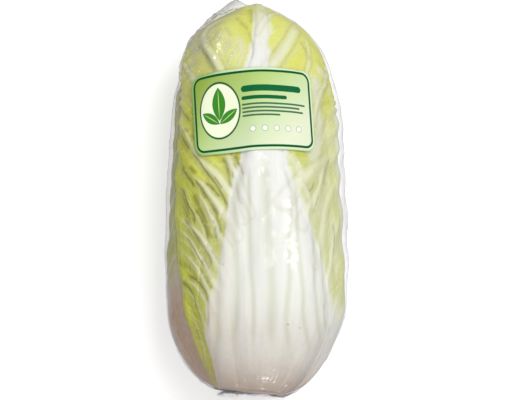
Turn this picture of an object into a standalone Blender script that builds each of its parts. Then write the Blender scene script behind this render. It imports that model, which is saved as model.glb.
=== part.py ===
"""A napa cabbage head, cut and wrapped in clear film with a paper label, lying on its side.

+Y runs from the cut stem to the crown, +Z is up, and the front leaf faces up. Lengths are in metres.
The head is drawn on a chart, a straight body with a rounded crown and a rounded butt.
A place on the chart is a direction out from the head's axis and a station along that axis.
Each leaf lies on the ones inside it, at a height over the heart that their thicknesses add up to.
"""
import math
from collections import namedtuple

import bpy
import numpy as np
from mathutils.bvhtree import BVHTree

# Chart of the heart
CORE_RADIUS = 0.047
BODY_LENGTH = 0.146
AXIS = np.array([0.0, 1.0, 0.0])

# Shape of the heart once the head has grown and lies down
WIDTH_SCALE = 0.985
THICKNESS_SCALE = 0.89
CROWN_STRETCH = 1.295
WAIST = 0.05
WAIST_START, WAIST_END = 0.040, 0.170
BUTT_TAPER = 0.09
TAPER_START, TAPER_END = 0.020, -0.040
FLAT_DEPTH = 0.030
FLAT_RANGE = 0.016
FLAT_SHARE = 0.35
SAG = 0.0034
SAG_START, SAG_END = 0.0, 0.120
PLACE = np.array([-0.0023, -0.0819, 0.0562])

# Leaves
OUTER_LEAVES = 6
GOLDEN_TURN = math.radians(137.508)
FRONT_TURN = math.radians(81.5)
CAP_TILT = math.radians(35)
BLADE = 0.0009
VEIN = 0.0010
RUFFLE = 0.0013
GROOVE = 0.0014
LEAF_GAP = 0.00125
HEART_GAP = 0.0018
COVER_SPREAD = math.radians(16)
MASK_START, MASK_END = 0.006, 0.030
CUT_ANGLE = math.radians(52.5)
TIP_WIDTH = 0.02
VEIN_RISE = 0.058
VEIN_CURVE = 1.15
RISE_GROWN, RISE_FADES = 0.35, 0.45
BUTT_SHARE, BODY_SHARE = 0.16, 0.66

# Stem
STEM_RADIUS = 0.0290
STEM_REACH = 0.0645
STEM_RINGS = ((0.45, 0.0), (0.93, 0.0), (0.99, 0.0015))
PITH_DEPTH = 0.0006
HEART_COLUMNS = 28

# Film
FILM = 0.0007
FILM_SLACK = 0.0003
FILM_COLUMNS = 36
MOUTH_ANGLE = math.radians(79)
MOUTH_SHIFT = np.array([-0.010, 0.0, -0.006])
NECK_RADIUS, NECK_REACH = 0.0060, 0.0675
TAIL_RADIUS, TAIL_REACH = 0.0090, 0.0702
EAR_TURN, EAR_STATION = math.radians(128), 0.201
EAR_HEIGHT = 0.011

# Label
LABEL_WIDTH, LABEL_HEIGHT = 0.098, 0.062
LABEL_CORNER = 0.0095
LABEL_THICKNESS = 0.0005
LABEL_GAP = 0.0008
LABEL_X, LABEL_Y = -0.0010, 0.0528
LABEL_TURN = math.radians(3.5)
LABEL_BEND = 0.062

Leaf = namedtuple("Leaf", "name turn left right rib_height rib_width rib_centre tip ribs blade rows")


def smoothstep(low, high, value):
    share = np.clip((value - low) / (high - low), 0, 1)
    return share * share * (3 - 2 * share)


def curve_through(points, position):
    """Value at `position` of a smooth curve through (position, value) points."""
    places, values = np.array(points, dtype=float).T
    slopes = np.gradient(values, places)
    position = np.clip(position, places[0], places[-1])
    span = np.clip(np.searchsorted(places, position) - 1, 0, len(places) - 2)
    width = places[span + 1] - places[span]
    share = (position - places[span]) / width
    fall = (1 + 2 * share) * (1 - share) ** 2
    start = share * (1 - share) ** 2 * width * slopes[span]
    end = share**2 * (share - 1) * width * slopes[span + 1]
    return fall * values[span] + (1 - fall) * values[span + 1] + start + end


def grown(points):
    """Points of the chart's heart, moved to where they are in the grown head as it lies."""
    x, y, z = points[..., 0], points[..., 1], points[..., 2]
    taper = BUTT_TAPER * smoothstep(-TAPER_START, -TAPER_END, -y)
    width = WIDTH_SCALE - WAIST * smoothstep(WAIST_START, WAIST_END, y) - taper
    stretched = np.where(y > BODY_LENGTH, BODY_LENGTH + (y - BODY_LENGTH) * CROWN_STRETCH, y)
    height = z * (THICKNESS_SCALE - taper)
    depth = np.clip(-height - FLAT_DEPTH, 0, None)
    underneath = smoothstep(0, FLAT_RANGE, depth)
    height = height + FLAT_SHARE * depth * underneath - SAG * underneath * smoothstep(SAG_START, SAG_END, y)
    return np.stack([x * width, stretched, height], axis=-1) + PLACE


def head_points(direction, station, height):
    """Points at `height` over the grown heart, straight out from its surface."""
    core = CORE_RADIUS * direction + station[..., None] * AXIS
    step = 1e-5
    slopes = [(grown(core + step * side) - grown(core - step * side)) / (2 * step) for side in np.eye(3)]
    outward = np.linalg.solve(np.stack(slopes, axis=-2), direction[..., None])[..., 0]
    outward /= np.linalg.norm(outward, axis=-1, keepdims=True)
    return grown(core) + height[..., None] * outward


def facing_axes(turn):
    """The way a leaf faces, and the way across it."""
    facing = np.array([math.cos(turn), 0.0, math.sin(turn)])
    across = np.array([math.sin(turn), 0.0, -math.cos(turn)])
    return facing, across


def leaf_directions(turn, angle, along):
    """Chart directions and stations at `angle` to the side of a leaf's middle, `along` its length."""
    crown = np.clip((along - BODY_LENGTH) / CORE_RADIUS, 0, None)
    butt = np.clip(-along / CORE_RADIUS, 0, None)
    facing, across = facing_axes(turn)
    out = np.cos(angle) * np.cos(crown) * np.cos(butt)
    side = np.sin(angle) * np.cos(butt)
    up = np.cos(angle) * np.sin(crown) - np.sin(butt)
    direction = out[..., None] * facing + side[..., None] * across + up[..., None] * AXIS
    return direction, np.clip(along, 0, BODY_LENGTH)


def ring_directions(azimuth, along):
    """Chart directions and stations on rings round the head's axis, up to the crown's pole."""
    tilt = np.clip((along - BODY_LENGTH) / CORE_RADIUS, 0, None) - np.clip(-along / CORE_RADIUS, 0, None)
    level = np.cos(tilt)
    direction = np.stack([level * np.cos(azimuth), np.sin(tilt), level * np.sin(azimuth)], axis=-1)
    return direction, np.clip(along, 0, BODY_LENGTH)


def leaf_place(leaf, direction, station):
    """Where chart directions lie on a leaf: the angle across, the length along, the angle from its cap."""
    facing, across = facing_axes(leaf.turn)
    out, side, up = direction @ facing, direction @ across, direction @ AXIS
    in_crown = up > 0
    round_angle = np.arctan2(side, out)
    angle = np.where(in_crown, np.arcsin(np.clip(side, -1, 1)), round_angle)
    climb = CORE_RADIUS * np.where(in_crown, np.arctan2(up, out), np.arcsin(np.clip(up, -1, 1)))
    from_cap = np.where(in_crown, out * math.cos(CAP_TILT) + up * math.sin(CAP_TILT),
                        np.cos(round_angle) * math.cos(CAP_TILT))
    return angle, station + climb, np.arccos(np.clip(from_cap, -1, 1))


def half_spread(leaf, angle, along):
    """How far round the head a leaf reaches, on the side that `angle` is on."""
    right_share = smoothstep(-0.5, 0.5, angle)
    return (curve_through(leaf.left, along) * (1 - right_share)
            + curve_through(leaf.right, along) * right_share)


def rib_swell(off_middle):
    """Share of the midrib's height, from 1 along its middle to 0 at its edges."""
    return np.clip(1 - off_middle**4, 0, None) ** 1.5


def cover(leaf, direction, station):
    """Room that a leaf takes up under the leaves that lie over it."""
    angle, along, from_cap = leaf_place(leaf, direction, station)
    spread = half_spread(leaf, angle, along)
    edge = np.arccos(np.cos(spread) * math.cos(CAP_TILT))
    within = 1 - smoothstep(MASK_START, MASK_END, (from_cap - edge) * CORE_RADIUS)
    off_rib = np.abs(angle - curve_through(leaf.rib_centre, along))
    wide = curve_through(leaf.rib_width, along) + COVER_SPREAD
    rib = curve_through(leaf.rib_height, along) * rib_swell(off_rib / wide)
    ruffle = RUFFLE * smoothstep(0.3, 0.9, np.abs(angle) / spread)
    return within * (BLADE + VEIN + ruffle + rib + LEAF_GAP)


def stack_height(leaves, direction, station):
    return HEART_GAP + sum(cover(leaf, direction, station) for leaf in leaves)


def make_leaves():
    """The outer leaves, from the innermost to the front one, each a golden turn from the next."""
    random = np.random.default_rng(11)
    leaves = []
    for place in range(OUTER_LEAVES - 1):
        turn = FRONT_TURN + (OUTER_LEAVES - 1 - place) * GOLDEN_TURN
        left, right, width = random.uniform(0.94, 1.04, 3)
        spread = [(-0.047, 66), (0.0, 68), (0.050, 74), (0.100, 78), (0.149, 77)]
        leaves.append(Leaf(
            name=f"leaf_{place + 1}",
            turn=turn + math.radians(random.uniform(-4, 4)),
            left=[(at, math.radians(degrees * left)) for at, degrees in spread],
            right=[(at, math.radians(degrees * right)) for at, degrees in spread],
            rib_height=[(-0.047, 0.0050), (0.0, 0.0052), (0.070, 0.0032), (0.149, 0.0016), (0.240, 0.0005)],
            rib_width=[(at, math.radians(degrees * width)) for at, degrees in
                       [(-0.047, 48), (0.0, 38), (0.045, 27), (0.095, 16), (0.149, 9), (0.240, 5)]],
            rib_centre=[(-0.047, 0.0), (0.100, math.radians(random.uniform(-3, 3))), (0.240, 0.0)],
            tip=math.radians(random.uniform(100, 112)), ribs=4, blade=6, rows=(5, 6, 9)))
    leaves.append(Leaf(
        name="front_leaf", turn=FRONT_TURN,
        left=[(-0.047, math.radians(68)), (-0.010, math.radians(62)), (0.030, math.radians(66)),
              (0.085, math.radians(74)), (0.149, math.radians(72))],
        right=[(-0.047, math.radians(76)), (0.030, math.radians(78)), (0.149, math.radians(76))],
        rib_height=[(-0.047, 0.0056), (0.0, 0.0056), (0.060, 0.0036), (0.149, 0.0018), (0.240, 0.0006)],
        rib_width=[(at, math.radians(degrees)) for at, degrees in
                   [(-0.047, 61), (-0.020, 54), (0.0, 48), (0.030, 41), (0.052, 31), (0.074, 22),
                    (0.099, 15), (0.149, 9), (0.190, 5), (0.240, 3.5)]],
        rib_centre=[(at, math.radians(degrees)) for at, degrees in
                    [(-0.047, 12), (-0.020, 8), (0.0, 4), (0.030, 1), (0.060, 0), (0.110, 0),
                     (0.165, -7), (0.200, -6), (0.225, -1), (0.240, 0)]],
        tip=math.radians(112), ribs=14, blade=6, rows=(6, 20, 12)))
    return leaves


def row_places(leaf):
    """Places up the midrib from 0 to 1, from the counts of rows on the butt, the body and the crown."""
    butt, body, crown = leaf.rows
    return np.concatenate([np.linspace(0, BUTT_SHARE, butt + 1)[:-1],
                           np.linspace(BUTT_SHARE, BODY_SHARE, body + 1)[:-1],
                           np.linspace(BODY_SHARE, 1, crown + 1)])


def leaf_grid(leaf):
    """Angles across and lengths along at each point of a leaf's grid, and how far out of the rib it is.

    The rows leave the midrib as the veins do, rising towards the margin, and end at the tip.
    """
    rib_edge = leaf.ribs / (leaf.ribs + 2 * leaf.blade)
    side, row = np.meshgrid(np.linspace(-1, 1, leaf.ribs + 2 * leaf.blade + 1), row_places(leaf))
    out_of_rib = np.clip((np.abs(side) - rib_edge) / (1 - rib_edge), 0, 1)
    start = -CUT_ANGLE * CORE_RADIUS
    top = BODY_LENGTH + CORE_RADIUS * leaf.tip
    rise = VEIN_RISE * smoothstep(0, RISE_GROWN, row) * (1 - smoothstep(RISE_FADES, 1, row))
    middle = start + (top - start) * row
    along = middle + rise * out_of_rib**VEIN_CURVE
    crown = np.clip((middle + rise - BODY_LENGTH) / CORE_RADIUS, 0, leaf.tip)
    rounded = np.clip(1 - (crown / leaf.tip) ** 2.5, TIP_WIDTH, 1) ** 0.55
    spread = half_spread(leaf, np.sign(side), middle + rise) * rounded
    rib_width = np.minimum(curve_through(leaf.rib_width, along), 0.8 * spread)
    centre = curve_through(leaf.rib_centre, along)
    on_rib = centre + rib_width * side / rib_edge
    off_rib = spread * out_of_rib + rib_width * (1 - out_of_rib)
    on_blade = np.sign(side) * off_rib + centre * (1 - out_of_rib)
    angle = np.where(np.abs(side) <= rib_edge, on_rib, on_blade)
    return angle, along, out_of_rib


def leaf_faces_points(leaf, under):
    """Points of a leaf's inner and outer faces. Ribs and veins stand up on its outer face."""
    angle, along, out_of_rib = leaf_grid(leaf)
    direction, station = leaf_directions(leaf.turn, angle, along)
    rows, columns = np.indices(angle.shape)
    crest_row = 0.5 + 0.5 * np.cos(math.pi * rows)
    crest_column = 0.5 + 0.5 * np.cos(math.pi * (columns - angle.shape[1] // 2))
    off_rib = np.abs(angle - curve_through(leaf.rib_centre, along)) / curve_through(leaf.rib_width, along)
    rib = curve_through(leaf.rib_height, along) * rib_swell(off_rib)
    groove = GROOVE * (1 - crest_column) * np.where(out_of_rib > 0, 0, 1) * smoothstep(0, 0.0025, rib)
    vein = VEIN * crest_row * smoothstep(0, 0.15, out_of_rib) * (1 - 0.5 * out_of_rib)
    ruffle = RUFFLE * crest_row * smoothstep(0.3, 0.9, out_of_rib)
    inner = stack_height(under, direction, station) + ruffle
    outer = inner + BLADE + vein + rib - groove
    return head_points(direction, station, inner), head_points(direction, station, outer)


def grid_triangles(rows, columns, first, wrapped):
    """Triangles of a grid of points numbered row by row from `first`."""
    last = columns if wrapped else columns - 1
    triangles = []
    for row in range(rows - 1):
        for column in range(last):
            corner = first + row * columns + column
            beside = first + row * columns + (column + 1) % columns
            triangles += [(corner, beside, beside + columns), (corner, beside + columns, corner + columns)]
    return triangles


def joined_edges(edge, other):
    """Triangles between two lines of points that run side by side."""
    triangles = []
    for (a, b), (c, d) in zip(zip(edge, edge[1:]), zip(other, other[1:])):
        triangles += [(a, c, d), (a, d, b)]
    return triangles


def volume_of(points, triangles):
    corners = points[np.array(triangles)]
    return np.einsum("ij,ij->i", corners[:, 0], np.cross(corners[:, 1], corners[:, 2])).sum() / 6


def make_object(name, points, triangles, material):
    """A smooth-shaded object from points and triangles, turned so that its faces point out."""
    points = np.asarray(points)
    if volume_of(points, triangles) < 0:
        triangles = [(a, c, b) for a, b, c in triangles]
    mesh = bpy.data.meshes.new(name)
    mesh.from_pydata(points.tolist(), [], triangles)
    mesh.shade_smooth()
    mesh.set_sharp_from_angle(angle=math.radians(40))
    mesh.materials.append(material)
    made = bpy.data.objects.new(name, mesh)
    bpy.context.scene.collection.objects.link(made)
    return made


def make_sheet(name, inner, outer, material):
    """A closed sheet between two grids of points, with a rim round it."""
    rows, columns = inner.shape[:2]
    count = rows * columns
    back = grid_triangles(rows, columns, 0, False)
    front = grid_triangles(rows, columns, count, False)
    number = np.arange(count).reshape(rows, columns)
    rim = np.concatenate([number[0], number[1:, -1], number[-1, -2::-1], number[-2::-1, 0]]).tolist()
    triangles = [(a, c, b) for a, b, c in back] + front
    triangles += joined_edges([point + count for point in rim], rim)
    points = np.concatenate([inner.reshape(-1, 3), outer.reshape(-1, 3)])
    return make_object(name, points, triangles, material)


def make_material(name, colour, roughness, alpha=1.0):
    material = bpy.data.materials.new(name)
    material.use_nodes = True
    material.diffuse_color = (*colour, alpha)
    shader = material.node_tree.nodes["Principled BSDF"]
    shader.inputs["Base Color"].default_value = (*colour, 1)
    shader.inputs["Roughness"].default_value = roughness
    shader.inputs["Metallic"].default_value = 0
    shader.inputs["Alpha"].default_value = alpha
    return material


def make_heart(material):
    """The packed inner leaves as one barrel, with the cut stem standing out of the butt."""
    azimuth = np.linspace(0, 2 * math.pi, HEART_COLUMNS, endpoint=False)
    neck_angle = math.acos(STEM_RADIUS / CORE_RADIUS)
    lengths = np.concatenate([
        np.linspace(-neck_angle, 0, 5)[:-1] * CORE_RADIUS,
        np.linspace(0, BODY_LENGTH, 6),
        BODY_LENGTH + np.linspace(0, math.pi / 2, 9)[1:-1] * CORE_RADIUS])
    turn, along = np.meshgrid(azimuth, lengths)
    direction, station = ring_directions(turn, along)
    skin = head_points(direction, station, np.zeros(turn.shape))
    ring = np.stack([np.cos(azimuth), np.zeros(HEART_COLUMNS), np.sin(azimuth)], axis=-1)
    stem = [grown(ring * STEM_RADIUS * share - AXIS * (STEM_REACH - rise)) for share, rise in STEM_RINGS]
    rows = np.concatenate([np.stack(stem), skin])
    pole = grown(np.array([[0.0, BODY_LENGTH + CORE_RADIUS, 0.0]]))
    pith = grown(np.array([[0.0, PITH_DEPTH - STEM_REACH, 0.0]]))
    points = np.concatenate([rows.reshape(-1, 3), pole, pith])
    triangles = grid_triangles(len(rows), HEART_COLUMNS, 0, True)
    top = (len(rows) - 1) * HEART_COLUMNS
    pole_number = len(points) - 2
    for column in range(HEART_COLUMNS):
        beside = (column + 1) % HEART_COLUMNS
        triangles.append((top + column, top + beside, pole_number))
        triangles.append((beside, column, pole_number + 1))
    return make_object("heart", points, triangles, material)


def film_heights(leaves, direction, station, azimuth, along):
    """Heights of the film drawn tight over the leaves and the cut stem."""
    down = np.clip(-along / CORE_RADIUS, 0.01, None)
    over_stem = down > math.atan(STEM_REACH / STEM_RADIUS) * 0.95
    stem = np.where(over_stem, STEM_REACH / np.sin(down) - CORE_RADIUS, 0)
    leaf_top = stack_height(leaves, direction, station) * (1 - smoothstep(CUT_ANGLE + 0.10, CUT_ANGLE + 0.22, down))
    rest_on = np.maximum(leaf_top, stem + 0.0018) + FILM_SLACK
    height = rest_on.copy()
    for _ in range(12):
        round_about = (np.roll(height, 1, axis=1) + np.roll(height, -1, axis=1)) / 2
        lengthways = height.copy()
        lengthways[1:-1] = (height[2:] + height[:-2]) / 2
        height = np.maximum(rest_on, (round_about + lengthways) / 2)
    turned = np.angle(np.exp(1j * (azimuth - EAR_TURN)))
    ear = EAR_HEIGHT * np.exp(-(turned / 0.14) ** 2) * np.exp(-((along - EAR_STATION) / 0.008) ** 2)
    return height + ear


def make_film(leaves, material):
    """The clear bag: drawn tight, closed over the crown, and gathered at a small mouth by the butt."""
    azimuth = np.linspace(0, 2 * math.pi, FILM_COLUMNS, endpoint=False)
    lengths = np.concatenate([
        np.linspace(-MOUTH_ANGLE, 0, 8)[:-1] * CORE_RADIUS,
        np.linspace(0, BODY_LENGTH, 8),
        BODY_LENGTH + np.linspace(0, math.pi / 2, 10)[1:] * CORE_RADIUS])
    turn, along = np.meshgrid(azimuth, lengths)
    direction, station = ring_directions(turn, along)
    height = film_heights(leaves, direction, station, turn, along)
    inner = head_points(direction, station, height)
    outer = head_points(direction, station, height + FILM)
    centre = grown(MOUTH_SHIFT[None, :])[0]
    pleat = 1 + 0.18 * np.cos(6 * azimuth)
    ring = np.stack([np.cos(azimuth) * pleat, np.zeros(FILM_COLUMNS), np.sin(azimuth) * pleat], axis=-1)
    neck = centre + ring * NECK_RADIUS - AXIS * NECK_REACH
    tail = centre + ring * TAIL_RADIUS - AXIS * TAIL_REACH
    thin = ring * FILM * 1.2
    inner = np.concatenate([np.stack([tail - thin, neck - thin]), inner])
    outer = np.concatenate([np.stack([tail, neck]), outer])
    inner[..., 2] = np.maximum(inner[..., 2], FILM)
    outer[..., 2] = np.maximum(outer[..., 2], 0)
    rows = len(inner) - 1
    sides = []
    for grid in (inner, outer):
        sides.append(np.concatenate([grid[:-1].reshape(-1, 3), grid[-1:, 0]]))
    count = len(sides[0])
    triangles = []
    for first, turned_in in ((0, True), (count, False)):
        face = grid_triangles(rows, FILM_COLUMNS, first, True)
        top = first + (rows - 1) * FILM_COLUMNS
        face += [(top + column, top + (column + 1) % FILM_COLUMNS, first + count - 1)
                 for column in range(FILM_COLUMNS)]
        triangles += [(a, c, b) for a, b, c in face] if turned_in else face
    mouth = list(range(FILM_COLUMNS)) + [0]
    triangles += joined_edges([point + count for point in mouth], mouth)
    return make_object("film", np.concatenate(sides), triangles, material)


def make_label(film, material):
    """The paper label, bent over the film."""
    half_width, half_height = LABEL_WIDTH / 2, LABEL_HEIGHT / 2
    straight_width, straight_height = half_width - LABEL_CORNER, half_height - LABEL_CORNER
    columns = np.concatenate([[-half_width], np.linspace(-straight_width, straight_width, 13), [half_width]])
    rows = np.concatenate([[-half_height], np.linspace(-straight_height, straight_height, 7), [half_height]])
    side, up = np.meshgrid(columns, rows)
    pull = LABEL_CORNER * (1 - math.sqrt(0.5))
    corner = (np.abs(side) > half_width - pull) & (np.abs(up) > half_height - pull)
    side = np.where(corner, side - np.sign(side) * pull, side)
    up = np.where(corner, up - np.sign(up) * pull, up)
    bent = LABEL_BEND * np.sin(side / LABEL_BEND)
    x = LABEL_X + bent * math.cos(LABEL_TURN) - up * math.sin(LABEL_TURN)
    y = LABEL_Y + bent * math.sin(LABEL_TURN) + up * math.cos(LABEL_TURN)
    tree = BVHTree.FromPolygons([tuple(vertex.co) for vertex in film.data.vertices],
                                [tuple(face.vertices) for face in film.data.polygons])
    inner = np.zeros((*x.shape, 3))
    outer = np.zeros((*x.shape, 3))
    for spot in np.ndindex(x.shape):
        hit, normal, _, _ = tree.ray_cast((x[spot], y[spot], 0.3), (0, 0, -1))
        if normal.z < 0:
            normal = -normal
        inner[spot] = hit + normal * LABEL_GAP
        outer[spot] = hit + normal * (LABEL_GAP + LABEL_THICKNESS)
    return make_sheet("label", inner, outer, material)


def make_cabbage():
    for old in list(bpy.data.objects):
        bpy.data.objects.remove(old, do_unlink=True)
    leaf_material = make_material("leaf", (0.55, 0.62, 0.24), 0.45)
    heart_material = make_material("heart", (0.80, 0.79, 0.55), 0.5)
    film_material = make_material("film", (0.85, 0.88, 0.90), 0.08, alpha=0.3)
    label_material = make_material("label", (0.45, 0.62, 0.25), 0.4)
    leaves = make_leaves()
    make_heart(heart_material)
    for place, leaf in enumerate(leaves):
        inner, outer = leaf_faces_points(leaf, leaves[:place])
        make_sheet(leaf.name, inner, outer, leaf_material)
    film = make_film(leaves, film_material)
    make_label(film, label_material)


make_cabbage()
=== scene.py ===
"""A napa cabbage head in clear film with a paper label: its looks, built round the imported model.

+Y runs from the cut stem to the crown, +Z is up, and lengths are in metres.
A place on the head is a chart direction and a station along its axis, as in the model's source.
Strokes that follow the photograph are in pixels of its 512 x 400 frame, and each is laid on the
leaf that it is seen on, so that it sits on that leaf from every side.
"""
import math
from collections import namedtuple

import bpy
import numpy as np
from mathutils import Matrix, noise
from mathutils.bvhtree import BVHTree


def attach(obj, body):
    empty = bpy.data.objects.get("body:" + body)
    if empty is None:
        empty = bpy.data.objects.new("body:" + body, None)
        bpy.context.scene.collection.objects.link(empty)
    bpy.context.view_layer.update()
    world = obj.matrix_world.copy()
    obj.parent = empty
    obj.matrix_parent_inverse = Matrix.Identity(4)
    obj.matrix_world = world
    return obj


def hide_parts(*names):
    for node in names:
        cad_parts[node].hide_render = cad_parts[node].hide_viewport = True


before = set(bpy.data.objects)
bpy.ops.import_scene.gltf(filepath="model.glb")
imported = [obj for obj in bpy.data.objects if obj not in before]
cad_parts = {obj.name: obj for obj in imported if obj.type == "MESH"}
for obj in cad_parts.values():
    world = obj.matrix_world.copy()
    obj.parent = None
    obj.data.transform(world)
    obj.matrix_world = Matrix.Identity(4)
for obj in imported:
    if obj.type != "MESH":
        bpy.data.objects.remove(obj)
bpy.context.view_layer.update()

# Chart of the heart, and how the grown head lies
CORE_RADIUS = 0.047
BODY_LENGTH = 0.146
AXIS = np.array([0.0, 1.0, 0.0])
WIDTH_SCALE = 0.985
THICKNESS_SCALE = 0.89
CROWN_STRETCH = 1.295
WAIST = 0.05
WAIST_START, WAIST_END = 0.040, 0.170
BUTT_TAPER = 0.09
TAPER_START, TAPER_END = 0.020, -0.040
FLAT_DEPTH = 0.030
FLAT_RANGE = 0.016
FLAT_SHARE = 0.35
SAG = 0.0034
SAG_START, SAG_END = 0.0, 0.120
PLACE = np.array([-0.0023, -0.0819, 0.0562])

# Leaves
OUTER_LEAVES = 6
GOLDEN_TURN = math.radians(137.508)
FRONT_TURN = math.radians(81.5)
CAP_TILT = math.radians(35)
BLADE = 0.0009
VEIN = 0.0010
RUFFLE = 0.0013
LEAF_GAP = 0.00125
HEART_GAP = 0.0018
COVER_SPREAD = math.radians(16)
MASK_START, MASK_END = 0.006, 0.030
CUT_ANGLE = math.radians(52.5)
TIP_WIDTH = 0.02
VEIN_RISE = 0.058
VEIN_CURVE = 1.15
RISE_GROWN, RISE_FADES = 0.35, 0.45
RIB_EDGE = 0.42
SKIN_RADIUS = 0.056
RUFFLE_ROWS = 30

# Stem, film and label
STEM_RADIUS = 0.0290
MOUTH_ANGLE = math.radians(79)
MOUTH_SHIFT = np.array([-0.017, 0.0, -0.003])
NECK_RADIUS, NECK_REACH = 0.0055, 0.0630
TAIL_RADIUS, TAIL_REACH = 0.0080, 0.0652
FILM = 0.0001
LABEL_WIDTH, LABEL_HEIGHT = 0.098, 0.062
LABEL_CORNER = 0.0095
LABEL_THICKNESS = 0.00015
LABEL_X, LABEL_Y = -0.0010, 0.0528
LABEL_TURN = math.radians(3.5)
LABEL_BEND = 0.062
LABEL_BOW = 0.0018

# Camera
PICTURE_WIDTH, PICTURE_HEIGHT = 512, 400
PIXEL = 0.0007405
CAMERA_LIFT = math.radians(75.5)
LENS, SENSOR = 180.0, 36.0
AIM = np.array([0.0011, -0.0038, 0.070])
CAMERA_DISTANCE = PIXEL * PICTURE_WIDTH * LENS / SENSOR

# Pieces
HEART_COLUMNS = 128
PITH_DEPTH = 0.0006
FLARE_START = -0.027
CUT_REACH, CUT_SLANT, CUT_STEP = 0.0628, 0.0050, 0.00025
CUT_LEAN = 0.0024
RIM_TURN = math.radians(30)
EDGE_CURL = 0.0016
MARGIN_UNDER = math.radians(16)
HEART_CUT = 0.0262
RIM_STEP, RIM_RIB, RIM_SHEET = 0.0008, 0.35, 0.0010
RUN_BEND = 0.62
RIB_FADE = 0.13
UNDERSIDE = 0.0008
FOLDS_BESIDE = 2
FILM_COLUMNS = 224
FILM_ROWS = (46, 72, 56)
TAIL_ROWS, MOUTH_ROWS = 7, 13
FILM_SLACK = 0.00025
FILM_PASSES = 40
FILM_FLOOR = 0.0002
RAY_REACH, ABOVE_HEAD = 0.045, 0.3
HAZE = 0.20
LABEL_COLUMNS, LABEL_ROWS = 120, 76
LABEL_GAP = 0.0002
LABEL_PASSES = 200
LABEL_EASE = 14
FLOOR_LEVEL, FLOOR_HALF = -0.0002, 3.0

# Where the film stands off in loose folds, and where the leaves swell at the head's sides and crown:
# azimuth, reach round, station, reach along, and height
FILM_FOLDS = [
    (math.radians(181), 0.34, 0.100, 0.060, 0.0026),
    (math.radians(2), 0.34, 0.095, 0.085, 0.0036),
]
SWELLS = [
    (math.radians(180), 0.60, 0.068, 0.050, 0.0042),
    (math.radians(172), 0.45, 0.140, 0.030, 0.0030),
    (math.radians(190), 0.70, -0.005, 0.050, 0.0042),
    (math.radians(4), 0.60, 0.080, 0.110, 0.0044),
    (math.radians(8), 0.45, 0.150, 0.030, 0.0014),
    (math.radians(82), 0.90, 0.210, 0.024, 0.0034),
]

# The film's ear at the crown, and where the film is crumpled
EAR_START, EAR_TIP, EAR_END = math.radians(99), math.radians(115), math.radians(158)
EAR_STATION, EAR_SLOPE, EAR_DEPTH, EAR_HEIGHT = 0.205, 0.022, 0.0065, 0.0078
CREASED_TURN = math.radians(148)

# Lumps of the skin: size and height. Thin ridges of the film: stretch, size, seed and height
PUCKER, FINE_PUCKER, LUMP, RIPPLE = (0.010, 0.00050), (0.0045, 0.00022), (0.030, 0.0006), (0.0035, 0.00016)
RELIEF_LOW, RELIEF_HIGH = -0.0007, 0.0018
CRUMPLES = [(0.45, 0.016, 5, 0.0009), (0.6, 0.007, 6, 0.0006)]
PLEAT_HEIGHT, MOUTH_SAG = 0.0010, 0.0010
LOOSE_START, LOOSE_END = 0.0026, 0.0060

# Veins by rule: widths at the midrib and the margin, and height. Grooves by rule: widths and depths
VEIN_WIDTH, VEIN_END, VEIN_HEIGHT = 0.0034, 0.0008, 0.0011
BRANCH_WIDTH, BRANCH_END, BRANCH_HEIGHT, BRANCH_REACH = 0.0012, 0.0004, 0.0004, 0.35
GROOVE_WIDTHS, GROOVE_DEPTHS = (0.0012, 0.0022), (0.0003, 0.0007)

# Fine creases beside a vein: how far off, how wide and how deep. The front leaf has them beside veins that
# are wider than so many mm and start left of and below a pixel
FOLD_OFF, FOLD_WIDTHS, FOLD_DEPTH = (0.0012, 0.0045), (0.00025, 0.0005), 0.0003
FOLDED_WIDTH, FOLDED_X, FOLDED_Y = 2.5, 260, 100

# Cut face: rings, roughness and its size
RING_HEIGHT, ROUGH_HEIGHT, ROUGH_SIZE = 0.00025, 0.0003, 0.004

# Print on the label, from its middle: sprig leaves as turn, length, half width and place, and bars as
# place, half length, half height and colour
RIM_WIDTH, LINE_WIDTH = 0.0020, 0.0018
BADGE_X, BADGE_Y, BADGE_WIDTH, BADGE_HEIGHT = -0.0255, 0.0015, 0.0165, 0.0215
SPRIG = [
    (math.radians(90), 0.0125, 0.0052, -0.0255, 0.0065),
    (math.radians(145), 0.0085, 0.0036, -0.0325, -0.0035),
    (math.radians(35), 0.0085, 0.0036, -0.0185, -0.0035),
]
LABEL_BARS = [
    (0.0150, 0.0150, 0.0230, 0.0024, (0.005, 0.122, 0.034)),
    (0.0090, 0.0082, 0.0170, 0.0014, (0.005, 0.122, 0.034)),
    (0.0165, 0.0034, 0.0245, 0.0007, (0.060, 0.160, 0.080)),
    (0.0140, 0.0006, 0.0220, 0.0007, (0.060, 0.160, 0.080)),
    (0.0155, -0.0022, 0.0235, 0.0007, (0.060, 0.160, 0.080)),
    (0.0060, -0.0050, 0.0140, 0.0007, (0.060, 0.160, 0.080)),
]
DARK_GREEN, LEAF_GREEN = (0, 84, 38), (60, 136, 40)
LABEL_RINGS = 5
RINGS_X, RINGS_Y, RINGS_STEP, RING_RADIUS = -0.0010, -0.0150, 0.0088, 0.0021

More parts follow.
